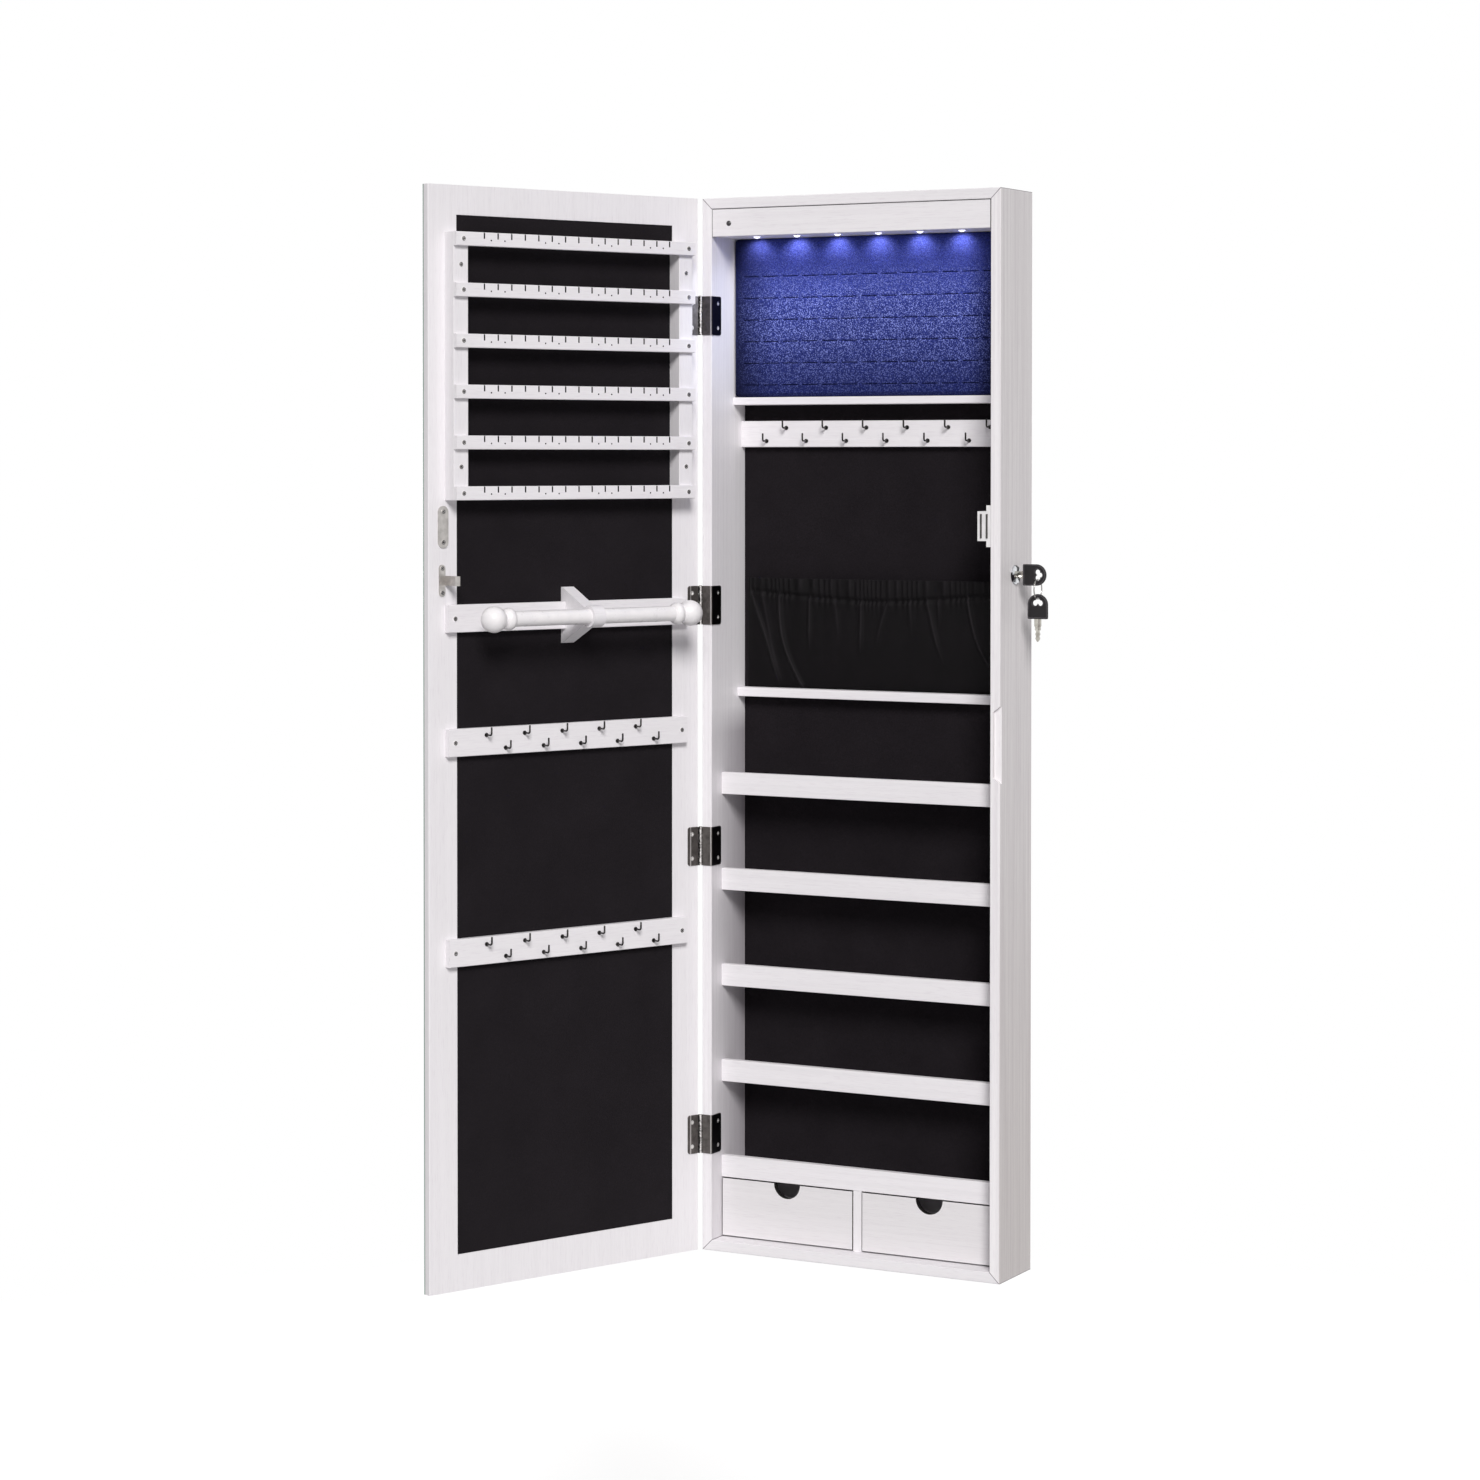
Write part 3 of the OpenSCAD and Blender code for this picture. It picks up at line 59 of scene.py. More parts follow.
# %% Sizes of the cabinet
half_w, half_h, panel_t = 185.0, 600.0, 12.0
inner_half = half_w - panel_t
lining_y = -5.0
door_turn = math.radians(-113)
pin_xy = np.array([-187.3, -86.8])
slat_z, slat_pitch = 541.1, 54.8
lock_y, lock_z = -46.6, 176.8


def on_door(points):
    """Swings points from the shut door to the open one: a turn about the upright line through
    the hinge pins, so x' = cos a * x - sin a * y and y' = sin a * x + cos a * y from that line."""
    x, y = points[..., 0] - pin_xy[0], points[..., 1] - pin_xy[1]
    c, s = math.cos(door_turn), math.sin(door_turn)
    return np.stack([pin_xy[0] + c * x - s * y, pin_xy[1] + s * x + c * y, points[..., 2]], -1)


print("door turned by", round(math.degrees(door_turn)), "degrees")

# %% [markdown]
# ## From numbers to a mesh
#
# Each new piece is a surface: a grid of points worked out in one go with numpy, row by row
# along a path and column by column round a profile. Small functions tie neighbours together
# with four-cornered faces, close the ends and turn every face outwards. Blender could also
# skin a curve or extrude a face, but a grid keeps every fold, groove and edge a formula that
# can be read.

# %% Mesh helpers
def grid_faces(rows, cols, round_rows, round_cols):
    """Corner numbers of a grid's faces: point (i, j) has number i * cols + j, and a face takes
    (i, j), (i, j + 1), (i + 1, j + 1) and (i + 1, j). A round direction joins its last line to
    its first."""
    i = np.arange(rows if round_rows else rows - 1)[:, None]
    j = np.arange(cols if round_cols else cols - 1)[None, :]
    a, b = i * cols + j, i * cols + (j + 1) % cols
    d, c = (i + 1) % rows * cols + j, (i + 1) % rows * cols + (j + 1) % cols
    return np.stack([a, b, c, d], -1).reshape(-1, 4)


def end_fans(rows, cols):
    """Triangles that close both ends of a grid whose columns run round. They meet in two points
    that follow the grid's own: one for its first row and one for its last."""
    j, k = np.arange(cols), (np.arange(cols) + 1) % cols
    extra, last = rows * cols, (rows - 1) * cols
    return np.vstack([
        np.stack([np.full(cols, extra), k, j], -1),
        np.stack([np.full(cols, extra + 1), last + j, last + k], -1),
    ])


def outwards(points, quads, fans):
    """The same faces, turned over if the volume inside them comes out negative. Its sign is that
    of the sum of p . (q x r) over their triangles."""
    corners = np.concatenate([quads[:, [0, 1, 2]], quads[:, [0, 2, 3]], fans])
    p, q, r = (points[corners[:, k]] for k in range(3))
    if np.einsum("ij,ij->", p, np.cross(q, r)) < 0:
        quads, fans = quads[:, ::-1], fans[:, ::-1]
    return quads, fans


def in_scene(name, data):
    """A new object of the scene that shows the data: a mesh, a lamp or a camera."""
    ob = bpy.data.objects.new(name, data)
    bpy.context.scene.collection.objects.link(ob)
    return ob


def piece(name, points, faces, smooth_below=40):
    """Puts points in millimetres and faces into a new object at the origin, shaded smooth
    except across edges sharper than smooth_below degrees."""
    mesh = bpy.data.meshes.new(name)
    mesh.from_pydata((points * mm).tolist(), [], faces)
    mesh.validate()
    ob = in_scene(name, mesh)
    mesh.shade_smooth()
    mesh.set_sharp_from_angle(angle=math.radians(smooth_below))
    print(f"{name}: {len(mesh.vertices)} points, {len(mesh.polygons)} faces")
    return ob


def solid(name, grid, round_rows=False):
    """A closed piece from a grid (rows, columns, 3) in millimetres whose columns run round a
    closed profile. Where the rows don't close on themselves, a fan of triangles about the
    first and last profile's middle closes each end."""
    rows, cols = grid.shape[:2]
    points, fans = grid.reshape(-1, 3), np.zeros((0, 3), int)
    if not round_rows:
        points = np.vstack([points, grid[0].mean(0), grid[-1].mean(0)])
        fans = end_fans(rows, cols)
    quads, fans = outwards(points, grid_faces(rows, cols, round_rows, True), fans)
    return piece(name, points, quads.tolist() + fans.tolist())


def mark(ob, name, values):
    """Gives each point of a piece one number, as an attribute that its material can read."""
    ob.data.attributes.new(name, "FLOAT", "POINT").data.foreach_set("value", values.ravel())


# %% [markdown]
# ## Colours and nodes
#
# Colours are written as the hex codes that one reads off a paint card or a screen. Blender
# mixes light in linear values, so one function turns a code into them. A second small
# function adds any node with its settings and links, which keeps each recipe to a few lines.
# Nearly every real surface varies a little from place to place, so a third one makes soft
# blobs of a size given in millimetres. The rest measure where a point lies and which way it
# faces, and lay a second colour over a finished material where such a measure says so.

# %% Material helpers
def linear(code):
    """Linear red, green, blue and 1 from an sRGB code: c / 12.92 up to 0.04045, and above it
    ((c + 0.055) / 1.055) to the power 2.4."""
    c = np.array([int(code[k:k + 2], 16) for k in (1, 3, 5)]) / 255
    return (*np.where(c <= 0.04045, c / 12.92, ((c + 0.055) / 1.055) ** 2.4).tolist(), 1.0)


def add(tree, kind, settings=None, inputs=None, into=None):
    """Adds one node. settings are its own properties. inputs gives a socket, by name or number,
    a plain value, a colour's code, or a node or socket to link. into is (shader, socket) to feed
    with the result."""
    node = tree.nodes.new("ShaderNode" + kind)
    for key, value in (settings or {}).items():
        setattr(node, key, value)
    for key, value in (inputs or {}).items():
        if isinstance(value, bpy.types.Node):
            value = next(out for out in value.outputs if out.enabled)
        if isinstance(value, bpy.types.NodeSocket):
            tree.links.new(value, node.inputs[key])
        else:
            node.inputs[key].default_value = linear(value) if isinstance(value, str) else value
    if into:
        tree.links.new(next(out for out in node.outputs if out.enabled), into[0].inputs[into[1]])
    return node


def start(name, colour, **values):
    """A new material with one Principled shader: its colour and plain socket values, written
    with underscores for spaces. Returns the material, its node tree and the shader."""
    material = bpy.data.materials.new(name)
    material.use_nodes = True
    shader = material.node_tree.nodes["Principled BSDF"]
    shader.inputs["Base Color"].default_value = linear(colour)
    for key, value in values.items():
        shader.inputs[key.replace("_", " ")].default_value = value
    return material, material.node_tree, shader


def blobs(tree, size, turn=0.0, detail=2.0, distortion=0.0, low=0.3, high=0.7):
    """Soft noise from 0 to 1 whose blobs measure size, one number or (x, y, z), in millimetres:
    the object's own coordinates, turned by turn about the upright axis and divided by that
    size, pick the noise, and what lies from low to high is spread from 0 to 1."""
    placed = add(tree, "Mapping", {"vector_type": "TEXTURE"}, {
        "Vector": add(tree, "TexCoord").outputs["Object"],
        "Rotation": (0, 0, turn),
        "Scale": (np.broadcast_to(size, 3) * mm).tolist(),
    })
    noise = add(tree, "TexNoise", None, {
        "Vector": placed, "Scale": 1.0, "Detail": detail, "Distortion": distortion,
    })
    return add(tree, "MapRange", None, {"Value": noise, "From Min": low, "From Max": high})


def coordinates(tree):
    """Sockets "X", "Y" and "Z" of the point that is shaded, in metres."""
    return add(tree, "SeparateXYZ", None, {0: add(tree, "TexCoord").outputs["Object"]}).outputs


def facing(tree, way):
    """How squarely a face looks along way: the dot product of the two directions, 1 if it looks
    straight along it, 0 at right angles to it and -1 if it looks the other way."""
    return add(tree, "VectorMath", {"operation": "DOT_PRODUCT"}, {
        0: add(tree, "TexCoord").outputs["Normal"], 1: way,
    })


def off_middle(tree, value, middle=0.0):
    """How far a value lies from the middle to either side: |value - middle|."""
    off = add(tree, "Math", {"operation": "SUBTRACT"}, {0: value, 1: middle})
    return add(tree, "Math", {"operation": "ABSOLUTE"}, {0: off})


def all_of(tree, mask, *others):
    """A mask that is 1 where all of these are: their product."""
    for other in others:
        mask = add(tree, "Math", {"operation": "MULTIPLY"}, {0: mask, 1: other})
    return mask


# A Mix node has sockets 0, 6 and 7 for its factor and its two colours
blend = {"data_type": "RGBA"}
darken = {"data_type": "RGBA", "blend_type": "MULTIPLY"}


def colour_over(material, mask, colour, how=blend):
    """Lays a colour over a finished material's own: fully where the mask is 1 and not at all
    where it is 0."""
    tree = material.node_tree
    shader = tree.nodes["Principled BSDF"]
    under = shader.inputs["Base Color"].links[0].from_socket
    add(tree, "Mix", how, {0: mask, 6: under, 7: colour}, into=(shader, "Base Color"))


def dress(material, *nodes):
    """Gives CAD nodes this material in every slot that they have."""
    for node in nodes:
        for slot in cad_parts[node].material_slots:
            slot.material = material
    print(f"{material.name}: {len(nodes)} nodes")


# %% [markdown]
# ## White boards
#
# The boards are MDF wrapped in a white printed foil with an embossed wood grain. To the eye
# they are almost plain white, with faint grey streaks a few millimetres wide and a hand long,
# and short shallow pores that catch the light. The streaks run along each board: upwards in
# the panels and the door, across in rails and shelves. On the door's rails they follow the
# open door, so the pattern is turned with it. At the cabinet's corners the panels meet in a
# mitre, which shows as a hair-thin shadow line. That line lies where the distances from the
# two outer faces are equal, so it is drawn there, a little wider than the real one to show.

# %% White foil with wood grain
def white_foil(name, along, low="#ebe8eb", high="#efecef", turn=0.0, mitred=False):
    """Streaks of 4 mm by 260 mm, whose colour goes from low to high, and pores of 0.9 mm by
    16 mm. Both run along axis 0, 1 or 2."""
    material, tree, shader = start(name, high, Roughness=0.46, Specular_IOR_Level=0.35)
    streak, pore = [4.0, 4.0, 4.0], [0.9, 0.9, 0.9]
    streak[along], pore[along] = 260.0, 16.0
    broad = blobs(tree, streak, turn, detail=2.0, distortion=0.35, low=0.34, high=0.64)
    pits = blobs(tree, pore, turn, detail=1.0, low=0.34, high=0.42)
    colour = add(tree, "Mix", blend, {0: broad, 6: low, 7: high})
    pore_tone = add(tree, "Mix", blend, {0: pits, 6: "#faf9fa", 7: "#ffffff"})
    colour = add(tree, "Mix", darken, {0: 1.0, 6: colour, 7: pore_tone})
    if mitred:
        place = coordinates(tree)
        wide = add(tree, "Math", {"operation": "SUBTRACT"}, {
            0: off_middle(tree, place["Z"]), 1: off_middle(tree, place["X"]),
        })
        off = off_middle(tree, wide, (half_h - half_w) * mm)
        line = add(tree, "MapRange", None, {"Value": off, "From Min": 0.3 * mm, "From Max": 0.8 * mm})
        seam = add(tree, "Mix", blend, {0: line, 6: "#8f8b8f", 7: "#ffffff"})
        colour = add(tree, "Mix", darken, {0: 1.0, 6: colour, 7: seam})
    tree.links.new(colour.outputs[2], shader.inputs["Base Color"])
    add(tree, "MapRange", None, {"Value": broad, "To Min": 0.52, "To Max": 0.42},
        into=(shader, "Roughness"))
    relief = add(tree, "Math", {"operation": "MULTIPLY_ADD"}, {0: broad, 1: 0.6, 2: pits})
    add(tree, "Bump", None, {"Height": relief, "Distance": 0.015 * mm}, into=(shader, "Normal"))
    return material


across, upright = 0, 2
to_right = (1.0, 0.0, 0.0)

# Painted shade: the left panel's inner face is darkened in the bays under the pocket, more towards
# the back, where shelves and guards shade it
left_foil = white_foil("white_foil_left", upright, "#ebe8eb", "#f1eef1", mitred=True)
tree = left_foil.node_tree
place = coordinates(tree)
inner = add(tree, "Math", {"operation": "GREATER_THAN"}, {0: facing(tree, to_right), 1: 0.5})
low_down = add(tree, "MapRange", None, {"Value": place["Z"], "From Min": 0.020, "From Max": -0.010})
depth = add(tree, "MapRange", None, {
    "Value": place["Y"], "From Min": -0.070, "From Max": -0.010, "To Min": 0.35, "To Max": 1.0,
})
# Painted shade on the inner face of the lower bays
colour_over(left_foil, all_of(tree, inner, low_down, depth), "#bebbbe", darken)
dress(left_foil, "left_side_panel")

# Painted shade: the right panel's outer face is darkened a little towards its foot, where less light
# falls on it
right_foil = white_foil("white_foil_right", upright, "#ebe7ea", "#f5f2f4", mitred=True)
tree = right_foil.node_tree
low_down = add(tree, "MapRange", {"interpolation_type": "SMOOTHSTEP"}, {
    "Value": coordinates(tree)["Z"], "From Min": 0.15, "From Max": -0.60,
})
painted_falloff_tone = add(tree, "Mix", blend, {0: low_down, 6: "#efeeed", 7: "#dddad7"})
painted_falloff_tone = add(tree, "Mix", blend, {0: facing(tree, to_right), 6: "#ffffff", 7: painted_falloff_tone})
# Painted shade towards the foot of the outer face
colour_over(right_foil, 1.0, painted_falloff_tone, darken)
dress(right_foil, "right_side_panel")
dress(white_foil("white_foil_across_mitred", across, mitred=True), "top_panel", "bottom_panel")
dress(
    white_foil("white_foil_upright", upright, "#ebe8eb", "#eeebee"),
    "door_panel", "drawer_divider", "earring_stiles",
)
dress(
    white_foil("white_foil_across", across), "light_tray", "ring_shelf", "necklace_rail",
    "pouch_shelf", "shelf_boards", "shelf_guard_1", "shelf_guard_2", "shelf_guard_3",
    "shelf_guard_4", "drawer_deck", "drawer_rail", "left_drawer_box", "right_drawer_box",
)

# The fascia is pushed in between the panels and leaves a fine joint. It is drawn wider than
# it is, 0.6 mm wide and fading out by 1.1 mm
fascia_foil = white_foil("white_foil_fascia", across)
tree = fascia_foil.node_tree
place = coordinates(tree)
in_x = add(tree, "Math", {"operation": "SUBTRACT"}, {
    0: off_middle(tree, place["X"]), 1: inner_half * mm,
})
in_z = add(tree, "Math", {"operation": "SUBTRACT"}, {0: place["Z"], 1: (half_h - panel_t) * mm})
to_joint = add(tree, "Math", {"operation": "MAXIMUM"}, {0: in_x, 1: in_z})
joint = add(tree, "MapRange", None, {"Value": to_joint, "From Min": -1.1 * mm, "From Max": -0.6 * mm})
colour_over(fascia_foil, joint, "#2b282b")
dress(fascia_foil, "light_fascia")

# The drawer fronts are wrapped on their faces only. Painted shade: their narrow edges are painted
# near black, for the shade in the gaps round them
drawer_foil = white_foil("white_foil_drawers", across, "#e2dfe1", "#e5e2e4")
tree = drawer_foil.node_tree
to_front = off_middle(tree, facing(tree, (0.0, 1.0, 0.0)))
edge = add(tree, "MapRange", None, {"Value": to_front, "From Min": 0.5, "From Max": 0.3})
# Painted shade on the edge faces of the drawer fronts
colour_over(drawer_foil, edge, "#1e1b1c")
dress(drawer_foil, "left_drawer_front", "right_drawer_front")
dress(
    white_foil("white_foil_along_door", across, "#ebe8eb", "#eeebee", turn=door_turn),
    "bangle_rail", "bangle_bracket", "upper_hook_rail", "lower_hook_rail",
)

# %% [markdown]
# The six slats for earrings get narrow saw cuts from their upper edges and drilled holes
# below. No foil reaches in there: the raw MDF is brown, and it is dark so deep in a narrow
# cut. Such a face lies inside the slat's outline and doesn't look forwards or backwards. So
# the material measures three things: how squarely a face looks along the door's own
# direction, the height within a slat, and the distance from the slat's middle along the door.

# %% Foil with sawn slots
outward = (math.sin(door_turn), -math.cos(door_turn), 0.0)
along_door = (math.cos(door_turn), math.sin(door_turn), 0.0)
slat_half, rack_y = 7.5, -70.0
slat_foil = white_foil("white_foil_sawn_slats", across, "#ebe8eb", "#eeebee", turn=door_turn)
tree = slat_foil.node_tree
to_door = off_middle(tree, facing(tree, outward))
height = add(tree, "Math", {"operation": "SUBTRACT"}, {
    0: coordinates(tree)["Z"], 1: (slat_z - slat_half) * mm,
})
height = add(tree, "Math", {"operation": "FLOORED_MODULO"}, {0: height, 1: slat_pitch * mm})
along = add(tree, "VectorMath", {"operation": "DOT_PRODUCT"}, {
    0: add(tree, "TexCoord").outputs["Object"], 1: along_door,
})
middle = float(on_door(np.array([0.0, rack_y, 0.0])) @ along_door) * mm
inside_slat = [
    add(tree, "MapRange", None, {
        "Value": off_middle(tree, value, centre), "From Min": reach, "From Max": reach - soft,
    })
    for value, centre, reach, soft in (
        (to_door, 0.0, 0.6, 0.2),
        (height, slat_half * mm, 7.1 * mm, 0.4 * mm),
        (along, middle, 163.3 * mm, 0.4 * mm),
    )
]
# Painted shade: the faces inside the cuts are painted near black for the dark deep in them
colour_over(slat_foil, all_of(tree, *inside_slat), "#120f0e")
dress(slat_foil, "earring_slats")

# %% [markdown]
# ## Boards that nobody sees
#
# The back is hardboard with a thin coat of white paint: smooth, slightly mottled and duller
# than the foil. The batten that carries the wall hangers is raw poplar plywood, pale yellow
# with long fibres.

# %% Painted hardboard and raw plywood
hardboard, tree, shader = start("painted_hardboard", "#d9d6d1", Roughness=0.7)
mottle = blobs(tree, 9, detail=4.0)
add(tree, "Mix", blend, {0: mottle, 6: "#cfccc6", 7: "#e0ddd8"}, into=(shader, "Base Color"))
add(tree, "Bump", None, {"Height": mottle, "Distance": 0.03 * mm}, into=(shader, "Normal"))
dress(hardboard, "back_panel")

plywood, tree, shader = start("raw_plywood", "#cdb893", Roughness=0.75)
fibres = blobs(tree, (60, 1.6, 1.6), detail=3.0)
add(tree, "Mix", blend, {0: fibres, 6: "#b59c74", 7: "#dccaa8"}, into=(shader, "Base Color"))
add(tree, "Bump", None, {"Height": fibres, "Distance": 0.08 * mm}, into=(shader, "Normal"))
dress(plywood, "hanging_batten")

# %% [markdown]
# ## Black velvet
#
# The back wall and the door are lined with flocked velvet on thin board. Its short nylon
# pile swallows nearly all light and gives a little back at a glancing angle, which is what a
# sheen does. The pile lies in patches, so the black is never perfectly even. Its single
# fibres are far too fine to show, so it is drawn as specks of 0.9 mm.

# %% Black velvet
velvet, tree, shader = start(
    "black_velvet", "#1d1a1d", Roughness=0.95, Specular_IOR_Level=0.12,
    Sheen_Weight=0.10, Sheen_Roughness=0.45,
)
pile = blobs(tree, 0.9, detail=1.0)
patches = blobs(tree, 60)
patch_tone = add(tree, "Mix", blend, {0: patches, 6: "#1a161a", 7: "#1f1b1f"})
pile_tone = add(tree, "Mix", blend, {0: pile, 6: "#c9c6c9", 7: "#ffffff"})
add(tree, "Mix", darken, {0: 1.0, 6: patch_tone, 7: pile_tone}, into=(shader, "Base Color"))
add(tree, "Bump", None, {"Height": pile, "Distance": 0.15 * mm}, into=(shader, "Normal"))
dress(velvet, "back_lining", "door_lining")

# %% [markdown]
# ## Metals
#
# The metals share one recipe and differ in colour and roughness. The hinges and the plates on the
# door are steel with a dull nickel coat that has seen some handling: grey, with soft smudges. The
# lock is bright chrome. Hooks are drawn wire with a bright zinc coat, here painted near black as a
# painted reflection of dark surroundings, and the screws are zinc too. Fine lines left by rolling or
# drawing are a few tenths of a millimetre wide; here they are drawn a little coarser so that they
# show.

# %% Plated metals
def plated(name, low, high, rough, line=(0.4, 0.4, 6.0), turn=0.0):
    """A metal whose colour goes from low to high in smudges of 7 mm, with lines of a given size
    in millimetres pressed 0.012 mm deep."""
    material, tree, shader = start(name, high, Metallic=1.0, Roughness=rough)
    smudge = blobs(tree, 7, turn, detail=3.0)
    lines = blobs(tree, line, turn, detail=1.0)
    add(tree, "Mix", blend, {0: smudge, 6: low, 7: high}, into=(shader, "Base Color"))
    add(tree, "MapRange", None, {"Value": smudge, "To Min": rough * 1.25, "To Max": rough * 0.85},
        into=(shader, "Roughness"))
    add(tree, "Bump", None, {"Height": lines, "Distance": 0.012 * mm}, into=(shader, "Normal"))
    return material


nickel = plated("satin_nickel_plate", "#a9a5a2", "#c6c2bf", 0.34, turn=door_turn)
zinc = plated("zinc_plated_screw", "#8f8d8c", "#b9b7b5", 0.33, line=0.5)
dress(nickel, "strike_plate", "lock_keeper")
dress(zinc, "lock_cam", "cam_screw", "hanger_plates")
dress(plated("drawn_steel_pin", "#8d8a88", "#b4b1ae", 0.30), "hinge_pins")
dress(plated("bright_chrome", "#b4b6ba", "#dfe1e4", 0.14, line=(3.0, 0.5, 0.5)), "lock_nut")
# Painted reflection: the hooks' wire is painted near black
dress(plated("zinc_coated_wire", "#141314", "#5a5757", 0.26), "necklace_hooks", "door_hooks")
dress(plated("ground_pole_steel", "#454341", "#5c5957", 0.42), "catch_magnet")

# %% [markdown]
# The hinge leaves are bent and rolled from strip before they are plated. Their dark grey, and the
# light and dark on it, are painted reflection, which follows the direction of the face and its
# distance from the pin. The flats stay a dull grey and are painted darkest where they face straight
# to the right; a narrow painted highlight runs along the bend, 13.7 mm from the pin; and the knuckles
# are painted dark with light glints where they look forwards and to the right.

# %% Nickel on bent strip
bend_at, knuckle_r = 13.7, 2.8
hinge_steel = plated("nickel_plated_steel", "#5d5957", "#7b7673", 0.36)
tree = hinge_steel.node_tree
flat = add(tree, "MapRange", None, {
    "Value": facing(tree, to_right), "From Min": 0.94, "From Max": 0.985,
})
from_pin = add(tree, "VectorMath", {"operation": "SUBTRACT"}, {
    0: add(tree, "TexCoord").outputs["Object"], 1: (pin_xy[0] * mm, pin_xy[1] * mm, 0.0),
})
from_pin = add(tree, "VectorMath", {"operation": "MULTIPLY"}, {0: from_pin, 1: (1.0, 1.0, 0.0)})
from_pin = add(tree, "VectorMath", {"operation": "LENGTH"}, {0: from_pin}).outputs["Value"]
bend = add(tree, "MapRange", None, {
    "Value": off_middle(tree, from_pin, bend_at * mm), "From Min": 1.1 * mm, "From Max": 0.5 * mm,
})
rolled = add(tree, "MapRange", None, {
    "Value": from_pin, "From Min": (knuckle_r + 0.1) * mm, "From Max": (knuckle_r - 0.1) * mm,
})
glints = blobs(tree, 2.5, detail=1.0, low=0.35, high=0.75)
painted_glint = add(tree, "Math", {"operation": "MULTIPLY_ADD"}, {
    0: glints, 1: 0.3, 2: facing(tree, (0.84, -0.54, 0.0)),
})
painted_glint = add(tree, "MapRange", None, {"Value": painted_glint, "From Min": 0.86, "From Max": 1.10})
painted_roll_reflection = add(tree, "Mix", blend, {0: painted_glint, 6: "#1b1819", 7: "#dedad8"})
# Painted reflection: dark flats, a light line along the bend and glints on the knuckles
colour_over(hinge_steel, flat, "#2c292c")
colour_over(hinge_steel, bend, "#d9d5d2")
colour_over(hinge_steel, rolled, painted_roll_reflection)
dress(hinge_steel, "wrap_leaves", "door_leaves")

# %% [markdown]
# The lock's collar and plug are turned on a lathe and then chromed. Turned faces throw the light back
# in fans, bright and almost black by turns. Here the dark between the fans is painted reflection, a
# wave of the angle about the lock's axis, so the fans stand still on the piece while it is looked at.

# %% Chrome on turned brass
turned = plated("turned_chrome", "#b4b6ba", "#eceef1", 0.16, line=(3.0, 0.4, 0.4))
tree = turned.node_tree
place = coordinates(tree)
off_y = add(tree, "Math", {"operation": "SUBTRACT"}, {0: place["Y"], 1: lock_y * mm})
off_z = add(tree, "Math", {"operation": "SUBTRACT"}, {0: place["Z"], 1: lock_z * mm})
angle = add(tree, "Math", {"operation": "ARCTAN2"}, {0: off_z, 1: off_y})
fans = add(tree, "Math", {"operation": "MULTIPLY_ADD"}, {0: angle, 1: 3.0, 2: 0.6})
fans = add(tree, "Math", {"operation": "SINE"}, {0: fans})
uneven = blobs(tree, 4.0, detail=1.0, low=0.2, high=0.8)
fans = add(tree, "Math", {"operation": "MULTIPLY_ADD"}, {0: uneven, 1: 1.2, 2: fans})
between = add(tree, "MapRange", None, {"Value": fans, "From Min": 0.9, "From Max": 0.2})
# Painted reflection: the dark between the fans
colour_over(turned, between, "#242226")
dress(turned, "lock_housing", "lock_plug")

# %% [markdown]
# ## Plastics, lacquer and circuit board
#
# The catch is moulded white nylon, the battery box moulded black ABS with a fine spark
# texture. The bangle rod is turned wood under a satin white lacquer, so its grain hardly
# shows, only as the faintest waviness. The light strip is a green circuit board.

# %% Moulded plastics
def moulded(name, low, high, rough, texture=0.5, depth=0.02):
    """A plastic whose colour drifts from low to high in clouds of 12 mm, with spots in its gloss and
    relief, texture millimetres wide and depth deep, as a spark-eroded mould leaves them."""
    material, tree, shader = start(name, high, Roughness=rough)
    spots = blobs(tree, texture, detail=1.0)
    cloud = blobs(tree, 12)
    add(tree, "Mix", blend, {0: cloud, 6: low, 7: high}, into=(shader, "Base Color"))
    add(tree, "MapRange", None, {"Value": spots, "To Min": rough * 1.1, "To Max": rough * 0.9},
        into=(shader, "Roughness"))
    add(tree, "Bump", None, {"Height": spots, "Distance": depth * mm}, into=(shader, "Normal"))
    return material


lacquer = moulded("satin_white_lacquer", "#eeebed", "#f5f2f3", 0.30, texture=5.0, depth=0.03)
dress(lacquer, "bangle_rod")
dress(moulded("white_nylon", "#e6e4e5", "#f1eff0", 0.38), "catch_body")
dress(moulded("black_abs", "#1f1d1f", "#2a282a", 0.45), "battery_box")
dress(moulded("circuit_board", "#24502f", "#2f5d3a", 0.35, texture=1.2), "light_strip")

# %% [markdown]
# ## The mirror
#
# The whole outside of the door is a sheet of glass, silvered on its back. Seen from the
# front it is a mirror: a metal with almost no roughness. Its cut edges show the faint green
# of the glass. Which of the two a face is follows from the direction in which it points,
# measured against the open door's outward direction.

# %% Silvered glass
mirror, tree, shader = start("silvered_glass", "#e9edee", Metallic=1.0, Roughness=0.015)
silver = add(tree, "MapRange", None, {
    "Value": facing(tree, outward), "From Min": 0.80, "From Max": 0.95,
}, into=(shader, "Metallic"))
add(tree, "Mix", blend, {0: silver, 6: "#8fa59b", 7: "#e9edee"}, into=(shader, "Base Color"))
add(tree, "MapRange", None, {"Value": silver, "To Min": 0.12, "To Max": 0.015},
    into=(shader, "Roughness"))
ripple = blobs(tree, 220, detail=0.0)
add(tree, "Bump", None, {"Height": ripple, "Distance": 0.02 * mm}, into=(shader, "Normal"))
dress(mirror, "mirror")

# %% [markdown]
# ## Lights
#
# Six small lights hang in a row under the fascia, with clear domed lenses that glow a cold
# white. The door sensor has the same lens. Small lamps stand for what they throw on the
# cushion and beside it: a cone from each lens, a bluish strip along the row, and a soft patch
# on the left wall, half way up the cushion. The rest of the light comes with the studio.

# %% Lenses
lens, tree, shader = start(
    "glowing_lens", "#eef0ff", Roughness=0.2, Emission_Strength=1.6,
    Emission_Color=linear("#f2f3ff"),
)
frost = blobs(tree, 2)
frosted = add(tree, "Mix", blend, {0: frost, 6: "#e4e6ff", 7: "#f8f8ff"})
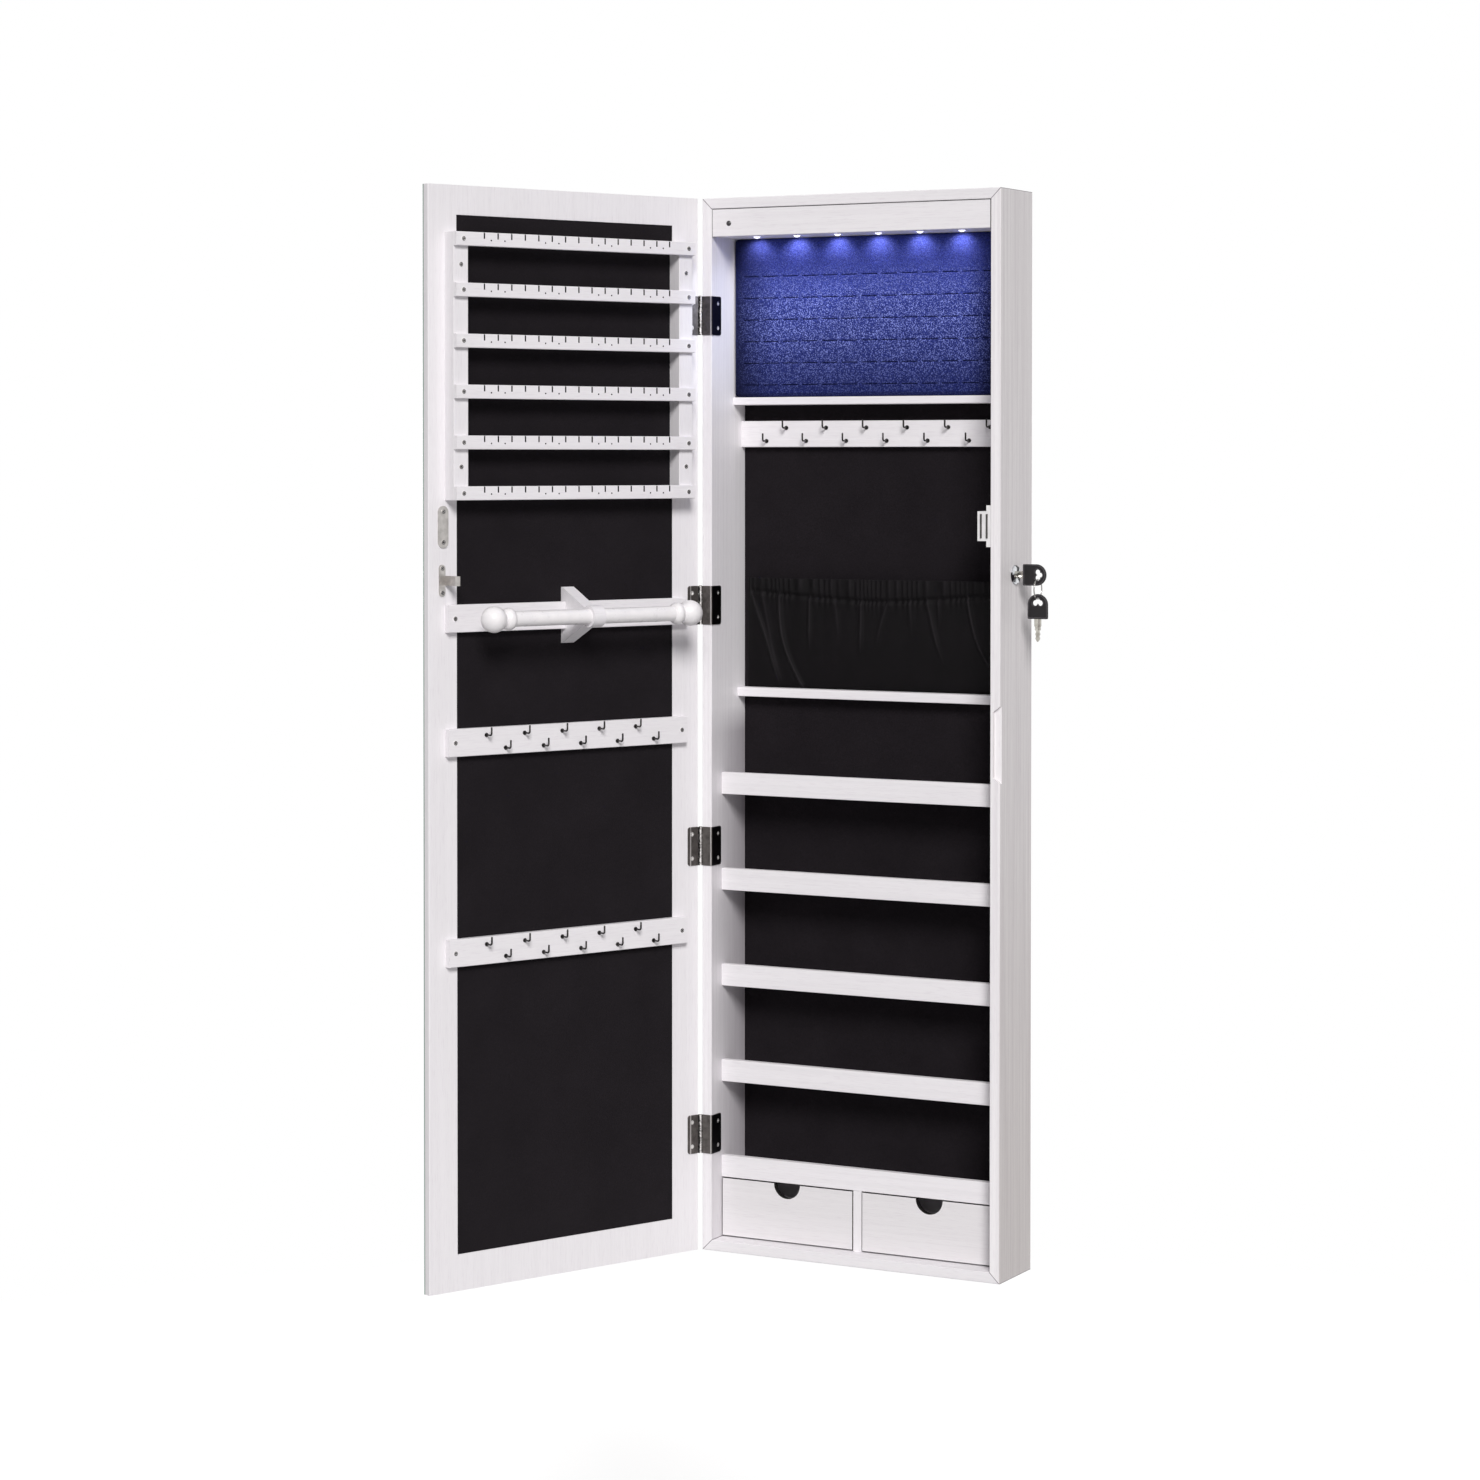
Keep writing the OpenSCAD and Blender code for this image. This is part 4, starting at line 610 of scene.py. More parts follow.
# The row's lenses lie behind the fascia, and the sensor's in front stays dark
is_light = add(tree, "MapRange", None, {
    "Value": coordinates(tree)["Y"], "From Min": -0.075, "From Max": -0.070,
})
add(tree, "Mix", blend, {0: is_light, 6: "#3a373a", 7: frosted}, into=(shader, "Base Color"))
add(tree, "Mix", blend, {0: is_light, 6: "#000000", 7: "#f2f3ff"},
    into=(shader, "Emission Color"))
dress(lens, "light_lenses")


# %% Lamps of the light row
def hang_lamp(name, kind, place, turned, power, colour, **settings):
    """A lamp at place, in metres. It shines straight down until it is turned by three angles.
    Its power, colour and further settings are Blender's own."""
    lamp = bpy.data.lights.new(name, kind)
    lamp.energy, lamp.color = power, colour
    for key, value in settings.items():
        setattr(lamp, key, value)
    holder = in_scene(name, lamp)
    holder.location, holder.rotation_euler = place, turned
    return holder


light_x = np.array([-127.5, -76.5, -25.5, 25.5, 76.5, 127.5])
for x in light_x:
    hang_lamp(
        "light_cone", "SPOT", ((x - 12) * mm, -0.0497, 0.5545), (math.radians(40), 0, 0),
        0.070, (1.0, 0.92, 0.90), spot_size=math.radians(120), spot_blend=0.9, shadow_soft_size=0.002,
    )
hang_lamp(
    "light_row", "AREA", (0.0, -0.0616, 0.5530), (0, 0, 0),
    0.030, (0.66, 0.70, 1.0), shape="RECTANGLE", size=0.300, size_y=0.008,
)
hang_lamp(
    "light_patch", "SPOT", (0.060, -0.0640, 0.5300), (0, math.radians(71), 0),
    0.80, (0.78, 0.84, 1.0), spot_size=math.radians(44), spot_blend=1.0, shadow_soft_size=0.004,
)
print("lights:", len(light_x))

# %% [markdown]
# ## The ring cushion
#
# Rings stand in the slits of a foam block covered with velvet, whose edges are round. It is
# made as a rounded box: every point lies on a core box, pushed out along the box's normal by
# the rounding. The slits are grooves pressed into that surface, so the grid has extra lines
# close to each slit. A coarse copy of the same box goes through a cloth simulation, and its
# movement is carried to the fine one line by line. That was meant to crown the face, but it
# doesn't, as the next cells tell: the face is flat.

# %% Rounded box and slits
cushion_low, cushion_high, cushion_front, cushion_back = 375.1, 555.9, -32.6, -5.4
cushion_half, cushion_round, crown = 172.6, 4.0, 1.1
slit_step_x, slit_step_z, first_slit = 25.0, 24.8, 13.6
slit_half, slit_depth, lip_depth = 9.9, 2.4, 0.3
slit_x = (np.arange(13) - 6) * slit_step_x
slit_z = cushion_low + first_slit + np.arange(6) * slit_step_z


def rounded_box(straight_x, front_z, other_z, turn_steps):
    """Points (rows, columns, 3) and normals of a box with its edges rounded by r: a point is
    core + r * (cos p * n, sin p), where n runs round the core's profile and p turns from the
    flat ends into the sides. Also returns the places of its rows and columns, in millimetres."""
    r = cushion_round
    y_front, y_back = cushion_front + crown + r, cushion_back - r
    z_low, z_high = cushion_low + r, cushion_high - r
    bend = np.linspace(0, math.pi / 2, turn_steps + 2)[1:-1]
    inwards = y_front + (y_back - y_front) * np.linspace(0, 1, 5)
    outwards_y = y_back + (y_front - y_back) * np.linspace(0, 1, 5)
    # Round the profile: front upwards, over the top, down the back and out along the bottom.
    # Each stretch gives the core's y and z and the direction in which its normal points
    stretches = [
        (y_front, front_z, math.pi), (y_front, z_high, math.pi - bend),
        (inwards, z_high, math.pi / 2), (y_back, z_high, math.pi / 2 - bend),
        (y_back, other_z[::-1], 0.0), (y_back, z_low, -bend),
        (outwards_y, z_low, -math.pi / 2), (y_front, z_low, -math.pi / 2 - bend),
    ]
    core_y, core_z, angle = np.concatenate(
        [np.stack(np.broadcast_arrays(*stretch)) for stretch in stretches], 1
    )
    normal = np.stack([0 * angle, np.cos(angle), np.sin(angle)], -1)
    tilt = np.linspace(0, math.pi / 2, turn_steps + 1)[1:]
    tilt = np.concatenate([-tilt[::-1], 0 * straight_x, tilt])
    end = cushion_half - r
    core_x = np.concatenate([np.full(turn_steps, -end), straight_x, np.full(turn_steps, end)])
    core = np.stack(np.broadcast_arrays(core_x[:, None], core_y, core_z), -1)
    side = np.sin(tilt)[:, None, None] * np.array([1.0, 0, 0])
    normals = np.cos(tilt)[:, None, None] * normal + side
    along = core_x + r * tilt
    step = np.hypot(np.diff(core_y), np.diff(core_z)) + r * np.abs(np.diff(angle))
    around = np.concatenate([[0], np.cumsum(step)])
    return core + r * normals, normals, along, around


def near(centres, offsets, low, high, plain):
    """Grid lines at plain spacing plus a cluster of offsets about each centre, sorted, kept
    from low to high and never closer than 0.05 mm."""
    lines = (centres[:, None] + offsets).ravel()
    lines = np.concatenate([np.arange(low, high, plain), [high], lines])
    lines = np.unique(np.round(lines[(lines >= low) & (lines <= high)], 2))
    return lines[np.concatenate([[True], np.diff(lines) > 0.05])]


print("slits:", slit_x.size * slit_z.size)

# %% [markdown]
# The swelling was to come from Blender's cloth with a little air pressure inside. Gravity is
# off, because a cushion that stands in its bay is held by the board behind it: the points of
# its back are pinned. The print shows that this simulation fails to swell the foam: no point
# moves by as much as 0.0001 mm, which is only rounding.

# %% Swelling of the foam
end = cushion_half - cushion_round
z_range = (cushion_low + cushion_round, cushion_high - cushion_round)
coarse_x = np.linspace(-end, end, 56)
coarse_z = np.linspace(*z_range, 28)
coarse, coarse_normal, coarse_u, coarse_v = rounded_box(coarse_x, coarse_z, coarse_z, 2)


def simulated_swelling():
    """Movement of each coarse point, in millimetres, after 20 frames of cloth under pressure."""
    body = solid("swelling_foam", coarse)
    held = body.vertex_groups.new(name="held_by_the_wall")
    behind = np.flatnonzero(coarse[..., 1].ravel() > cushion_back - cushion_round - 0.5)
    held.add(behind.tolist(), 1.0, "REPLACE")
    cloth = body.modifiers.new("foam", "CLOTH")
    cloth.settings.use_pressure = True
    cloth.settings.uniform_pressure_force = 4.0
    cloth.settings.tension_stiffness = cloth.settings.compression_stiffness = 30
    cloth.settings.vertex_group_mass = held.name
    cloth.settings.effector_weights.gravity = 0.0
    for number in range(1, 21):
        bpy.context.scene.frame_set(number)
    mesh = body.evaluated_get(bpy.context.evaluated_depsgraph_get()).data
    after = np.empty(len(mesh.vertices) * 3)
    mesh.vertices.foreach_get("co", after)
    after = after.reshape(-1, 3)[:coarse[..., 0].size].reshape(coarse.shape) / mm
    bpy.context.scene.frame_set(1)
    bpy.data.objects.remove(body)
    return after - coarse


swelling = simulated_swelling()
print(f"largest movement: {np.linalg.norm(swelling, axis=-1).max():.1e} mm")

# %% [markdown]
# Of that movement only the part that points forwards is kept, scaled so that its largest
# value is the 1.1 mm that the bay leaves room for. The rounding is the same all over the
# face, so the face moves forward by 1.1 mm as a whole and stays flat. Then the fine box takes
# this over, and the slits are pressed in: about 19 mm long, closed to a dark line, with soft
# lips where the velvet turns into the foam. The grid has extra lines near each slit's middle
# and ends.

# %% Fine cushion with its slits
forward = np.clip(-swelling[..., 1] * np.clip(-coarse_normal[..., 1], 0, 1), 0, None)
forward *= crown / forward.max()
near_end = np.array([4.5, 8.8, 9.6, 9.9, 10.2, 10.9])
near_lip = np.array([0.3, 0.6, 1.1, 2.0, 3.4])
fine_x = near(slit_x, np.concatenate([-near_end, [0], near_end]), -end, end, 50.0)
fine_z = near(slit_z, np.concatenate([-near_lip, [0], near_lip]), *z_range, 8.0)
fine, fine_normal, fine_u, fine_v = rounded_box(fine_x, fine_z, np.linspace(*z_range, 12), 4)


def carry(values, old, new, axis):
    """Values on old lines, worked out on new lines by straight interpolation: each new line is a
    weighted sum of two old ones, and the weights are the interpolated rows of a unit matrix."""
    share = np.stack([np.interp(new, old, row) for row in np.eye(old.size)], -1)
    return np.moveaxis(np.tensordot(share, values, (1, axis)), 0, axis)


rise = carry(carry(forward, coarse_u, fine_u, 0), coarse_v * fine_v[-1] / coarse_v[-1], fine_v, 1)
fine[..., 1] -= rise * np.clip(-fine_normal[..., 1], 0, 1)
from_slit_x = np.abs(fine[..., 0, None] - slit_x).min(-1)
from_slit_z = np.abs(fine[..., 2, None] - slit_z).min(-1)
inside = np.clip((slit_half - from_slit_x) / 0.6, 0, 1)
groove = slit_depth * np.clip((0.6 - from_slit_z) / 0.3, 0, 1)
groove += lip_depth * np.exp(-(from_slit_z / 1.4) ** 2)
fine[..., 1] += groove * inside * (fine_normal[..., 1] < -0.99)
cushion = solid("ring_cushion_pad", fine)

# %% [markdown]
# Its velvet is the same short pile in blue, lit from above by the six lights. Blue velvet shows a
# coarse sparkle where tufts of pile stand at different angles, about 1 mm apart; here that sparkle is
# a painted highlight, and it fades towards all four edges. Painted light and shade: the face is
# painted a little lighter towards the lights and darker towards the sides and the foot.

# %% Blue velvet
blue, tree, shader = start(
    "blue_velvet", "#333f92", Roughness=0.9, Specular_IOR_Level=0.15,
    Sheen_Weight=0.15, Sheen_Roughness=0.4, Sheen_Tint=linear("#6f7be0"),
)
place = coordinates(tree)
height = add(tree, "MapRange", None, {
    "Value": place["Z"], "From Min": cushion_low * mm, "From Max": (cushion_high - 60) * mm,
})
# Painted light and shade: lighter towards the lights, darker towards the foot
shade = add(tree, "Mix", blend, {0: height, 6: "#1a235f", 7: "#39459a"})
painted_side_shade = add(tree, "MapRange", None, {
    "Value": off_middle(tree, place["X"]), "From Min": 0.120, "From Max": 0.168,
})
# Painted shade towards the sides
shade = add(tree, "Mix", darken, {0: painted_side_shade, 6: shade, 7: "#74747e"})
tufts = blobs(tree, 1.1, detail=1.0, low=0.36, high=0.66)
tuft_tone = add(tree, "Mix", blend, {0: tufts, 6: "#c4c4c8", 7: "#ffffff"})
shade = add(tree, "Mix", darken, {0: 1.0, 6: shade, 7: tuft_tone})
painted_sparkle = blobs(tree, 1.0, detail=0.0, low=0.54, high=0.68)
below_lights = add(tree, "MapRange", None, {
    "Value": place["Z"], "From Min": 0.480, "From Max": 0.525, "To Min": 1.0, "To Max": 0.15,
})
above_foot = add(tree, "MapRange", None, {
    "Value": place["Z"], "From Min": 0.375, "From Max": 0.450, "To Min": 0.15, "To Max": 1.0,
})
off_sides = add(tree, "Math", {"operation": "MULTIPLY_ADD"}, {0: painted_side_shade, 1: -0.9, 2: 1.0})
painted_sparkle = all_of(tree, painted_sparkle, below_lights, above_foot, off_sides)
# Painted highlight: the sparkle of the pile
add(tree, "Mix", blend, {0: painted_sparkle, 6: shade, 7: "#8591de"}, into=(shader, "Base Color"))
add(tree, "Bump", None, {"Height": tufts, "Distance": 0.35 * mm}, into=(shader, "Normal"))
cushion.data.materials.append(blue)
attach(cushion, "cabinet")
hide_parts("ring_cushion")

# %% [markdown]
# ## The cloth pocket
#
# On the back wall hangs a pocket of thin black stretch cloth. Its foot and sides are
# tacked to the board, and an elastic runs through a channel below its upper edge. The
# elastic pulls the cloth into small gathers, sags a little in the middle, and leaves a narrow
# ruffle above it. Below it the cloth hangs in a few long folds that start at the gathers and
# drift outwards. A cloth simulation would find folds of its own, but not these, so the
# sheet is a height above the wall that is written as a sum: belly, hem, gathers and folds.

# %% Folds of the pocket
pouch_half, pouch_foot, pouch_top = 168.0, 41.2, 167.2
hem_rise, hem_sag = 101.2, 11.0
tacked_off, belly_off = 1.4, 10.3
u, v = np.meshgrid(np.linspace(-1, 1, 421), np.linspace(0, 1, 91), indexing="ij")
sheet_z = pouch_foot + (pouch_top - pouch_foot) * v
hem_z = pouch_foot + hem_rise + hem_sag * np.abs(u) ** 1.4
above = sheet_z - hem_z
hang = np.clip((sheet_z - pouch_foot) / (hem_z - pouch_foot), 0, None)


def folds(top, foot, sway, reach, width, tall):
    """Long folds as soft ridges. A fold's middle goes from foot at the pocket's foot to top at the
    hem, with a bow of sway between them, and the cloth stands off by
    tall * exp(-((u - middle) / width)^2), fading out by reach below the hem."""
    t = hang[..., None]
    middle = foot + (top - foot) * t + sway * np.sin(math.pi * np.clip(t, 0, 1))
    fade = np.clip((t - 1 + reach) / 0.25, 0, 1) * np.exp(-(np.clip(t - 0.97, 0, None) / 0.05) ** 2)
    return (tall * fade * np.exp(-((u[..., None] - middle) / width) ** 2)).sum(-1)


top = np.array([-0.96, -0.72, -0.49, -0.10, 0.10, 0.39, 0.47, 0.69, 0.86, -0.30, 0.26, -0.86])
foot = np.array([-0.74, -0.56, -0.50, -0.14, 0.00, 0.58, 0.44, 0.96, 0.92, -0.26, 0.30, -0.72])
sway = np.array([0.03, -0.05, 0.00, 0.01, -0.04, -0.02, 0.02, -0.06, 0.02, 0.01, 0.00, 0.00])
reach = np.array([1.0, 1.2, 0.6, 0.6, 0.5, 0.7, 0.3, 1.0, 1.2, 0.5, 0.4, 1.0])
width = np.array([0.017, 0.016, 0.016, 0.016, 0.020, 0.018, 0.014, 0.016, 0.014, 0.024, 0.024, 0.024])
tall = np.array([2.4, 2.6, 1.8, 2.0, 1.2, 1.6, 1.4, 2.4, 2.4, 0.9, 0.9, 1.2])
long_folds = folds(top, foot, sway, reach, width, tall)
crests = folds(top, foot, sway, reach, width * 0.38, tall / tall.max())
print("long folds:", top.size, "up to", round(float(long_folds.max()), 1), "mm")

# %% [markdown]
# The gathers are waves along the hem. Real ones are uneven, so the wave's phase runs ahead
# and falls behind along the way. They are deepest at the elastic, die away below it, and open
# up again in the ruffle. The flat size of the cloth is then measured on the finished sheet:
# its length across follows every gather, so it is longer than the pocket is wide.

# %% Sheet of the pocket
phase = 21 * u + 0.9 * np.sin(7 * u) + 0.5 * np.sin(19 * u + 1)
wave = 0.5 + 0.5 * np.cos(2 * math.pi * phase)
slow = 0.5 + 0.5 * np.cos(2 * math.pi * (6.5 * u + 0.4 * np.sin(5 * u + 2)))
gathers = 1.5 * wave * np.exp(-(above / np.where(above < 0, 9.0, 14.0)) ** 2)
ruffle = np.clip(above / 16, 0, 1) * (1.0 * wave + 0.9 * slow)
pinch = 2.4 * np.exp(-(above / 2.6) ** 2)
belly = 0.16 + 0.84 * np.sin(math.pi / 2 * np.clip(hang / 0.62, 0, 1))
side = 1 - np.abs(u) ** 12
off = side * (belly_off * belly + long_folds + gathers + ruffle - pinch + 0.5 * slow * belly)
off = tacked_off + off * np.clip(v / 0.03 + 0.15, 0, 1)
sheet = np.stack([pouch_half * u, lining_y - off, sheet_z], -1)
rows, cols = sheet.shape[:2]
faces = grid_faces(rows, cols, False, False)[:, ::-1]
pocket = piece("pouch_cloth", sheet.reshape(-1, 3), faces.tolist(), smooth_below=80)

corner = sheet.reshape(-1, 3)[faces]
crossed = np.cross(corner[:, 2] - corner[:, 0], corner[:, 3] - corner[:, 1])
pocket_area = 0.5 * np.linalg.norm(crossed, axis=1).sum()
flat_w = np.linalg.norm(np.diff(sheet, axis=0), axis=-1).sum(0).mean()
flat_l = pocket_area / flat_w
# Painted highlight also on the tops of the ruffle's gathers
crests = np.clip(crests + 0.45 * wave ** 6 * np.clip(ruffle / 1.5, 0, 1), 0, 1)
mark(pocket, "crest", crests)
cloth_uv = np.stack([(u + 1) / 2 * flat_w, v * flat_l], -1).reshape(-1, 2) * mm
uv_map = pocket.data.uv_layers.new(name="cut")
corners = np.empty(len(pocket.data.loops), int)
pocket.data.loops.foreach_get("vertex_index", corners)
uv_map.data.foreach_set("uv", cloth_uv[corners].ravel())
thick = pocket.modifiers.new("cloth", "SOLIDIFY")
thick.thickness, thick.offset = 0.7 * mm, -1.0
print("cut:", round(flat_w), "x", round(flat_l), "mm")

# %% [markdown]
# The cloth is a knitted polyamide: black, a little silky, so that the crests of its folds give a
# faint grey gleam. That gleam is a painted highlight: the sheet carries the height of its crests as
# an attribute, and the cloth is painted lighter along them. The stitches are half a millimetre wide
# in truth and are drawn at 1.2 mm. They follow the cloth, so they are laid out on its own flat cut.

# %% Black stretch cloth
knit, tree, shader = start(
    "black_stretch_knit", "#151215", Roughness=0.7, Specular_IOR_Level=0.12,
    Sheen_Weight=0.02, Sheen_Roughness=0.35,
)
cut = add(tree, "UVMap", {"uv_map": "cut"})
stitches = add(tree, "Mapping", {"vector_type": "TEXTURE"}, {
    "Vector": cut, "Scale": (1.2 * mm,) * 3,
})
loops = add(tree, "TexVoronoi", {"distance": "EUCLIDEAN"}, {
    "Vector": stitches, "Scale": 1.0, "Randomness": 0.35,
})
worn = blobs(tree, 30, detail=3.0)
tone = add(tree, "Mix", blend, {0: worn, 6: "#090709", 7: "#0e0b0e"})
crest = add(tree, "Attribute", {"attribute_name": "crest"}).outputs["Fac"]
# Painted highlight along the crests
tone = add(tree, "Mix", blend, {0: crest, 6: tone.outputs[2], 7: "#2b282b"})
loop_tone = add(tree, "Mix", blend, {0: loops, 6: "#ffffff", 7: "#c4c1c4"})
add(tree, "Mix", darken, {0: 1.0, 6: tone, 7: loop_tone}, into=(shader, "Base Color"))
add(tree, "Bump", {"invert": True}, {"Height": loops, "Distance": 0.08 * mm}, into=(shader, "Normal"))
pocket.data.materials.append(knit)
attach(pocket, "cabinet")
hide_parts("pouch")

# %% [markdown]
# ## The keys
#
# Each key has a flat steel blade moulded into a black plastic head. The head is a plate with
# one round end and a three-lobed hole for the ring, and a low rim runs along both outlines.
# Seen from the hole's middle, every direction meets the hole's outline once and then the
# head's once. So the head is a profile carried round the hole: for each direction two
# distances say where the profile starts and ends.

# %% Key head
head_len, head_wide, hole_at, head_round = 27.4, 23.5, 19.0, 11.75


def hole_reach(t):
    """Distance to the hole's outline in direction t: the largest of its distances to two lobes, a
    tail and the block between them. A circle about o is met at o.d + sqrt((o.d)^2 - o.o + r^2),
    and not at all where the root's value is below 0 or o.d is."""
    d = np.stack([np.cos(t), np.sin(t)], -1)
    centres, radii = np.array([[-1.4, 3.0], [-1.4, -3.0], [1.6, 0.0]]), np.array([3.1, 3.1, 2.6])
    along, from_hole = d @ centres.T, (centres ** 2).sum(1)
    left = along ** 2 - from_hole + radii ** 2
    met = (left > 0) & ((along > 0) | (from_hole < radii ** 2))
    circles = np.where(met, along + np.sqrt(left.clip(0)), 0)
    end_wall = np.where(d[:, 0] > 0, 1.6, 1.4) / np.abs(d[:, 0]).clip(1e-6)
    side_wall = 2.6 / np.abs(d[:, 1]).clip(1e-6)
    return np.maximum(circles.max(1), np.minimum(end_wall, side_wall))


def head_reach(t):
    """Distance to the head's outline: its round end is a circle, and its square end is the
    nearer of a side and the foot, blended over a small corner."""
    c, s = np.cos(t), np.sin(t)
    shift = hole_at - (head_len - head_round)
    circle = -shift * c + np.sqrt((shift * c) ** 2 - shift ** 2 + head_round ** 2)
    foot = hole_at / np.clip(-c, 1e-6, None)
    side = head_wide / 2 / np.abs(s).clip(1e-6)
    square = (foot ** -28 + side ** -28) ** (-1 / 28)
    return np.where(hole_at + circle * c < head_len - head_round, square, circle)


turns = np.linspace(0, 2 * math.pi, 160, endpoint=False) + 0.01
# Profile from the outline's middle up over the face and down into the hole: which outline
# each point belongs to (1 the head's, 0 the hole's), its distance from it and its height
belongs = np.array([1, 1, 1, 1, 1, 1, 0.5, 0, 0, 0, 0, 0, 0])
inset = np.array([0, 0, -0.2, -0.7, -1.5, -1.9, 0, 1.3, 1.0, 0.5, 0.15, 0, 0])
rise_h = np.array([0, 1.05, 1.5, 1.75, 1.75, 1.4, 1.4, 1.4, 1.75, 1.75, 1.5, 1.05, 0])
belongs, inset = (np.concatenate([k, k[-2:0:-1]]) for k in (belongs, inset))
rise_h = np.concatenate([rise_h, -rise_h[-2:0:-1]])
reach_out, reach_in = head_reach(turns)[:, None], hole_reach(turns)[:, None]
on_crest = (inset == -1.5) | (inset == 1.0)
distance = belongs * reach_out + (1 - belongs) * reach_in + inset
head = np.stack([
    hole_at + distance * np.cos(turns)[:, None],
    np.broadcast_to(rise_h, distance.shape),
    distance * np.sin(turns)[:, None],
], -1)
print("head:", head.shape[0], "directions,", head.shape[1], "profile points")

# %% [markdown]
# The blade is cut alike on both edges, with a milled groove along each face. Its width is a
# list of steps along its length, smoothed by averaging neighbours, and the section is a flat
# loop with the groove in it that is stretched to that width.

# %% Key blade
tip = -25.0
at = np.linspace(0.5, tip, 110)
cut_at = np.array([0.5, -7.5, -9.5, -11.5, -14.0, -16.5, -19.0, -21.5, tip])
cut_half = np.array([4.0, 4.0, 2.9, 3.4, 1.8, 2.9, 1.8, 2.7, 0.6])
half = np.interp(-at, -cut_at, cut_half)
half = np.convolve(np.pad(half, 2, mode="edge"), np.ones(5) / 5, mode="valid")
half[-4:] *= np.array([0.97, 0.9, 0.75, 0.5])
# One half of the section, from its upper edge to its lower one. The other half is the same,
# turned about the blade's middle by 180 degrees
section_z = np.array([1, 1, 0.93, 0.45, 0.32, 0, -0.32, -0.45, -0.93, -1])
section_y = np.array([0, 0.7, 1, 1, 0.65, 0.65, 0.65, 1, 1, 0.7])
section_y, section_z = (np.concatenate([k, -k]) for k in (section_y, section_z))
slim = np.concatenate([np.ones(at.size - 3), [0.95, 0.8, 0.5]])
blade = np.stack([
    np.broadcast_to(at[:, None], (at.size, section_z.size)),
    section_y * slim[:, None], section_z * half[:, None],
], -1)
print("blade:", blade.shape[0], "sections from", at[0], "to", at[-1], "mm")

# %% [markdown]
# One key is worked out and stands in two places: pushed into the lock, and hung on the ring.
# The crests of the two rims on its head catch the light. That is a painted highlight: the attribute
# "rim" marks the crests, and the plastic is painted lighter there.

# %% Two keys
lock_at = np.array([195.1, lock_y, lock_z])
ring_x, hole_in_ring_z = 212.7, 147.5


def in_lock(points):
    """The key's own place moved to the lock's axis."""
    return points + lock_at


def on_ring(points):
    """The key hung by its hole, blade down: x becomes height and z becomes -x."""
    x, y, z = np.moveaxis(points, -1, 0)
    return np.stack([-z, y, x - hole_at], -1) + np.array([ring_x, lock_y, hole_in_ring_z])


key_plastic = moulded("black_key_plastic", "#161416", "#1c1a1c", 0.5)
tree = key_plastic.node_tree
tree.nodes["Principled BSDF"].inputs["Specular IOR Level"].default_value = 0.3
# Painted highlight on the rim crests
rim = add(tree, "Attribute", {"attribute_name": "rim"}).outputs["Fac"]
colour_over(key_plastic, rim, "#575458")
blade_steel = plated("nickel_silver_blade", "#a8a49c", "#cfccc4", 0.24, line=(0.4, 0.4, 4.0))
for name, place, body, node in (
    ("key", in_lock, "turning_key", "key"), ("spare", on_ring, "hanging_key", "spare_key"),
):
    grip = solid(f"{name}_head", place(head), round_rows=True)
    mark(grip, "rim", np.tile(on_crest.astype(float), turns.size))
    grip.data.materials.append(key_plastic)
    steel = solid(f"{name}_blade", place(blade))
    steel.data.materials.append(blade_steel)
    for made in (grip, steel):
        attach(made, body)
        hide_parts(node)

# %% [markdown]
# ## The split ring
#
# A key ring is spring wire wound into two turns that lie flat against each other. The path
# goes round twice and shifts sideways from one turn to the other over a short bend, and
# the two cut ends stop short of that bend on either side.

# %% Split ring
ring_r, ring_z, wire_x, wire_r = 10.75, 161.2, 0.37, 0.72
cut_end, side_step, bend_over = 0.45, 0.40, 0.30
angle = np.linspace(cut_end, 4 * math.pi - cut_end, 240)
shift = side_step * np.tanh((angle - 2 * math.pi) / bend_over)
round_wire = np.linspace(0, 2 * math.pi, 12, endpoint=False)
radius = ring_r + wire_r * np.sin(round_wire)
ring = np.stack([
    ring_x + shift[:, None] + wire_x * np.cos(round_wire),
    lock_y + radius * np.sin(angle)[:, None],
    ring_z + radius * np.cos(angle)[:, None],
], -1)
split_ring = solid("split_ring", ring)
ring_steel = plated("spring_steel_ring", "#a3a19f", "#d0cecc", 0.2, line=0.4)
split_ring.data.materials.append(ring_steel)
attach(split_ring, "ring")
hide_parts("key_ring")

# %% [markdown]
# ## Screws
#
# Forty-eight screws hold the cabinet together where it shows. Each one is the same turned
# profile: tip, shank, head. The head's top has a cross recess, deepest in its middle. Hinge
# screws have a flat cone for a head, sunk level with the leaf, and all others a low dome. One
# screw is worked out as a grid, and copies of its points are turned and moved to every
# place at once with a single product of arrays. No two crosses point the same way.

# %% One screw
screw_zinc = plated("zinc_plated_screw_head", "#c9c6c4", "#efedeb", 0.42, line=0.5)
painted_recess_shade = add(screw_zinc.node_tree, "Attribute", {"attribute_name": "painted_recess_shade"}).outputs["Fac"]
# Painted shade in the cross recess and round the edge of each domed head
colour_over(screw_zinc, painted_recess_shade, "#1d1a1c")
head_r, shank_l = 2.5, 7.5


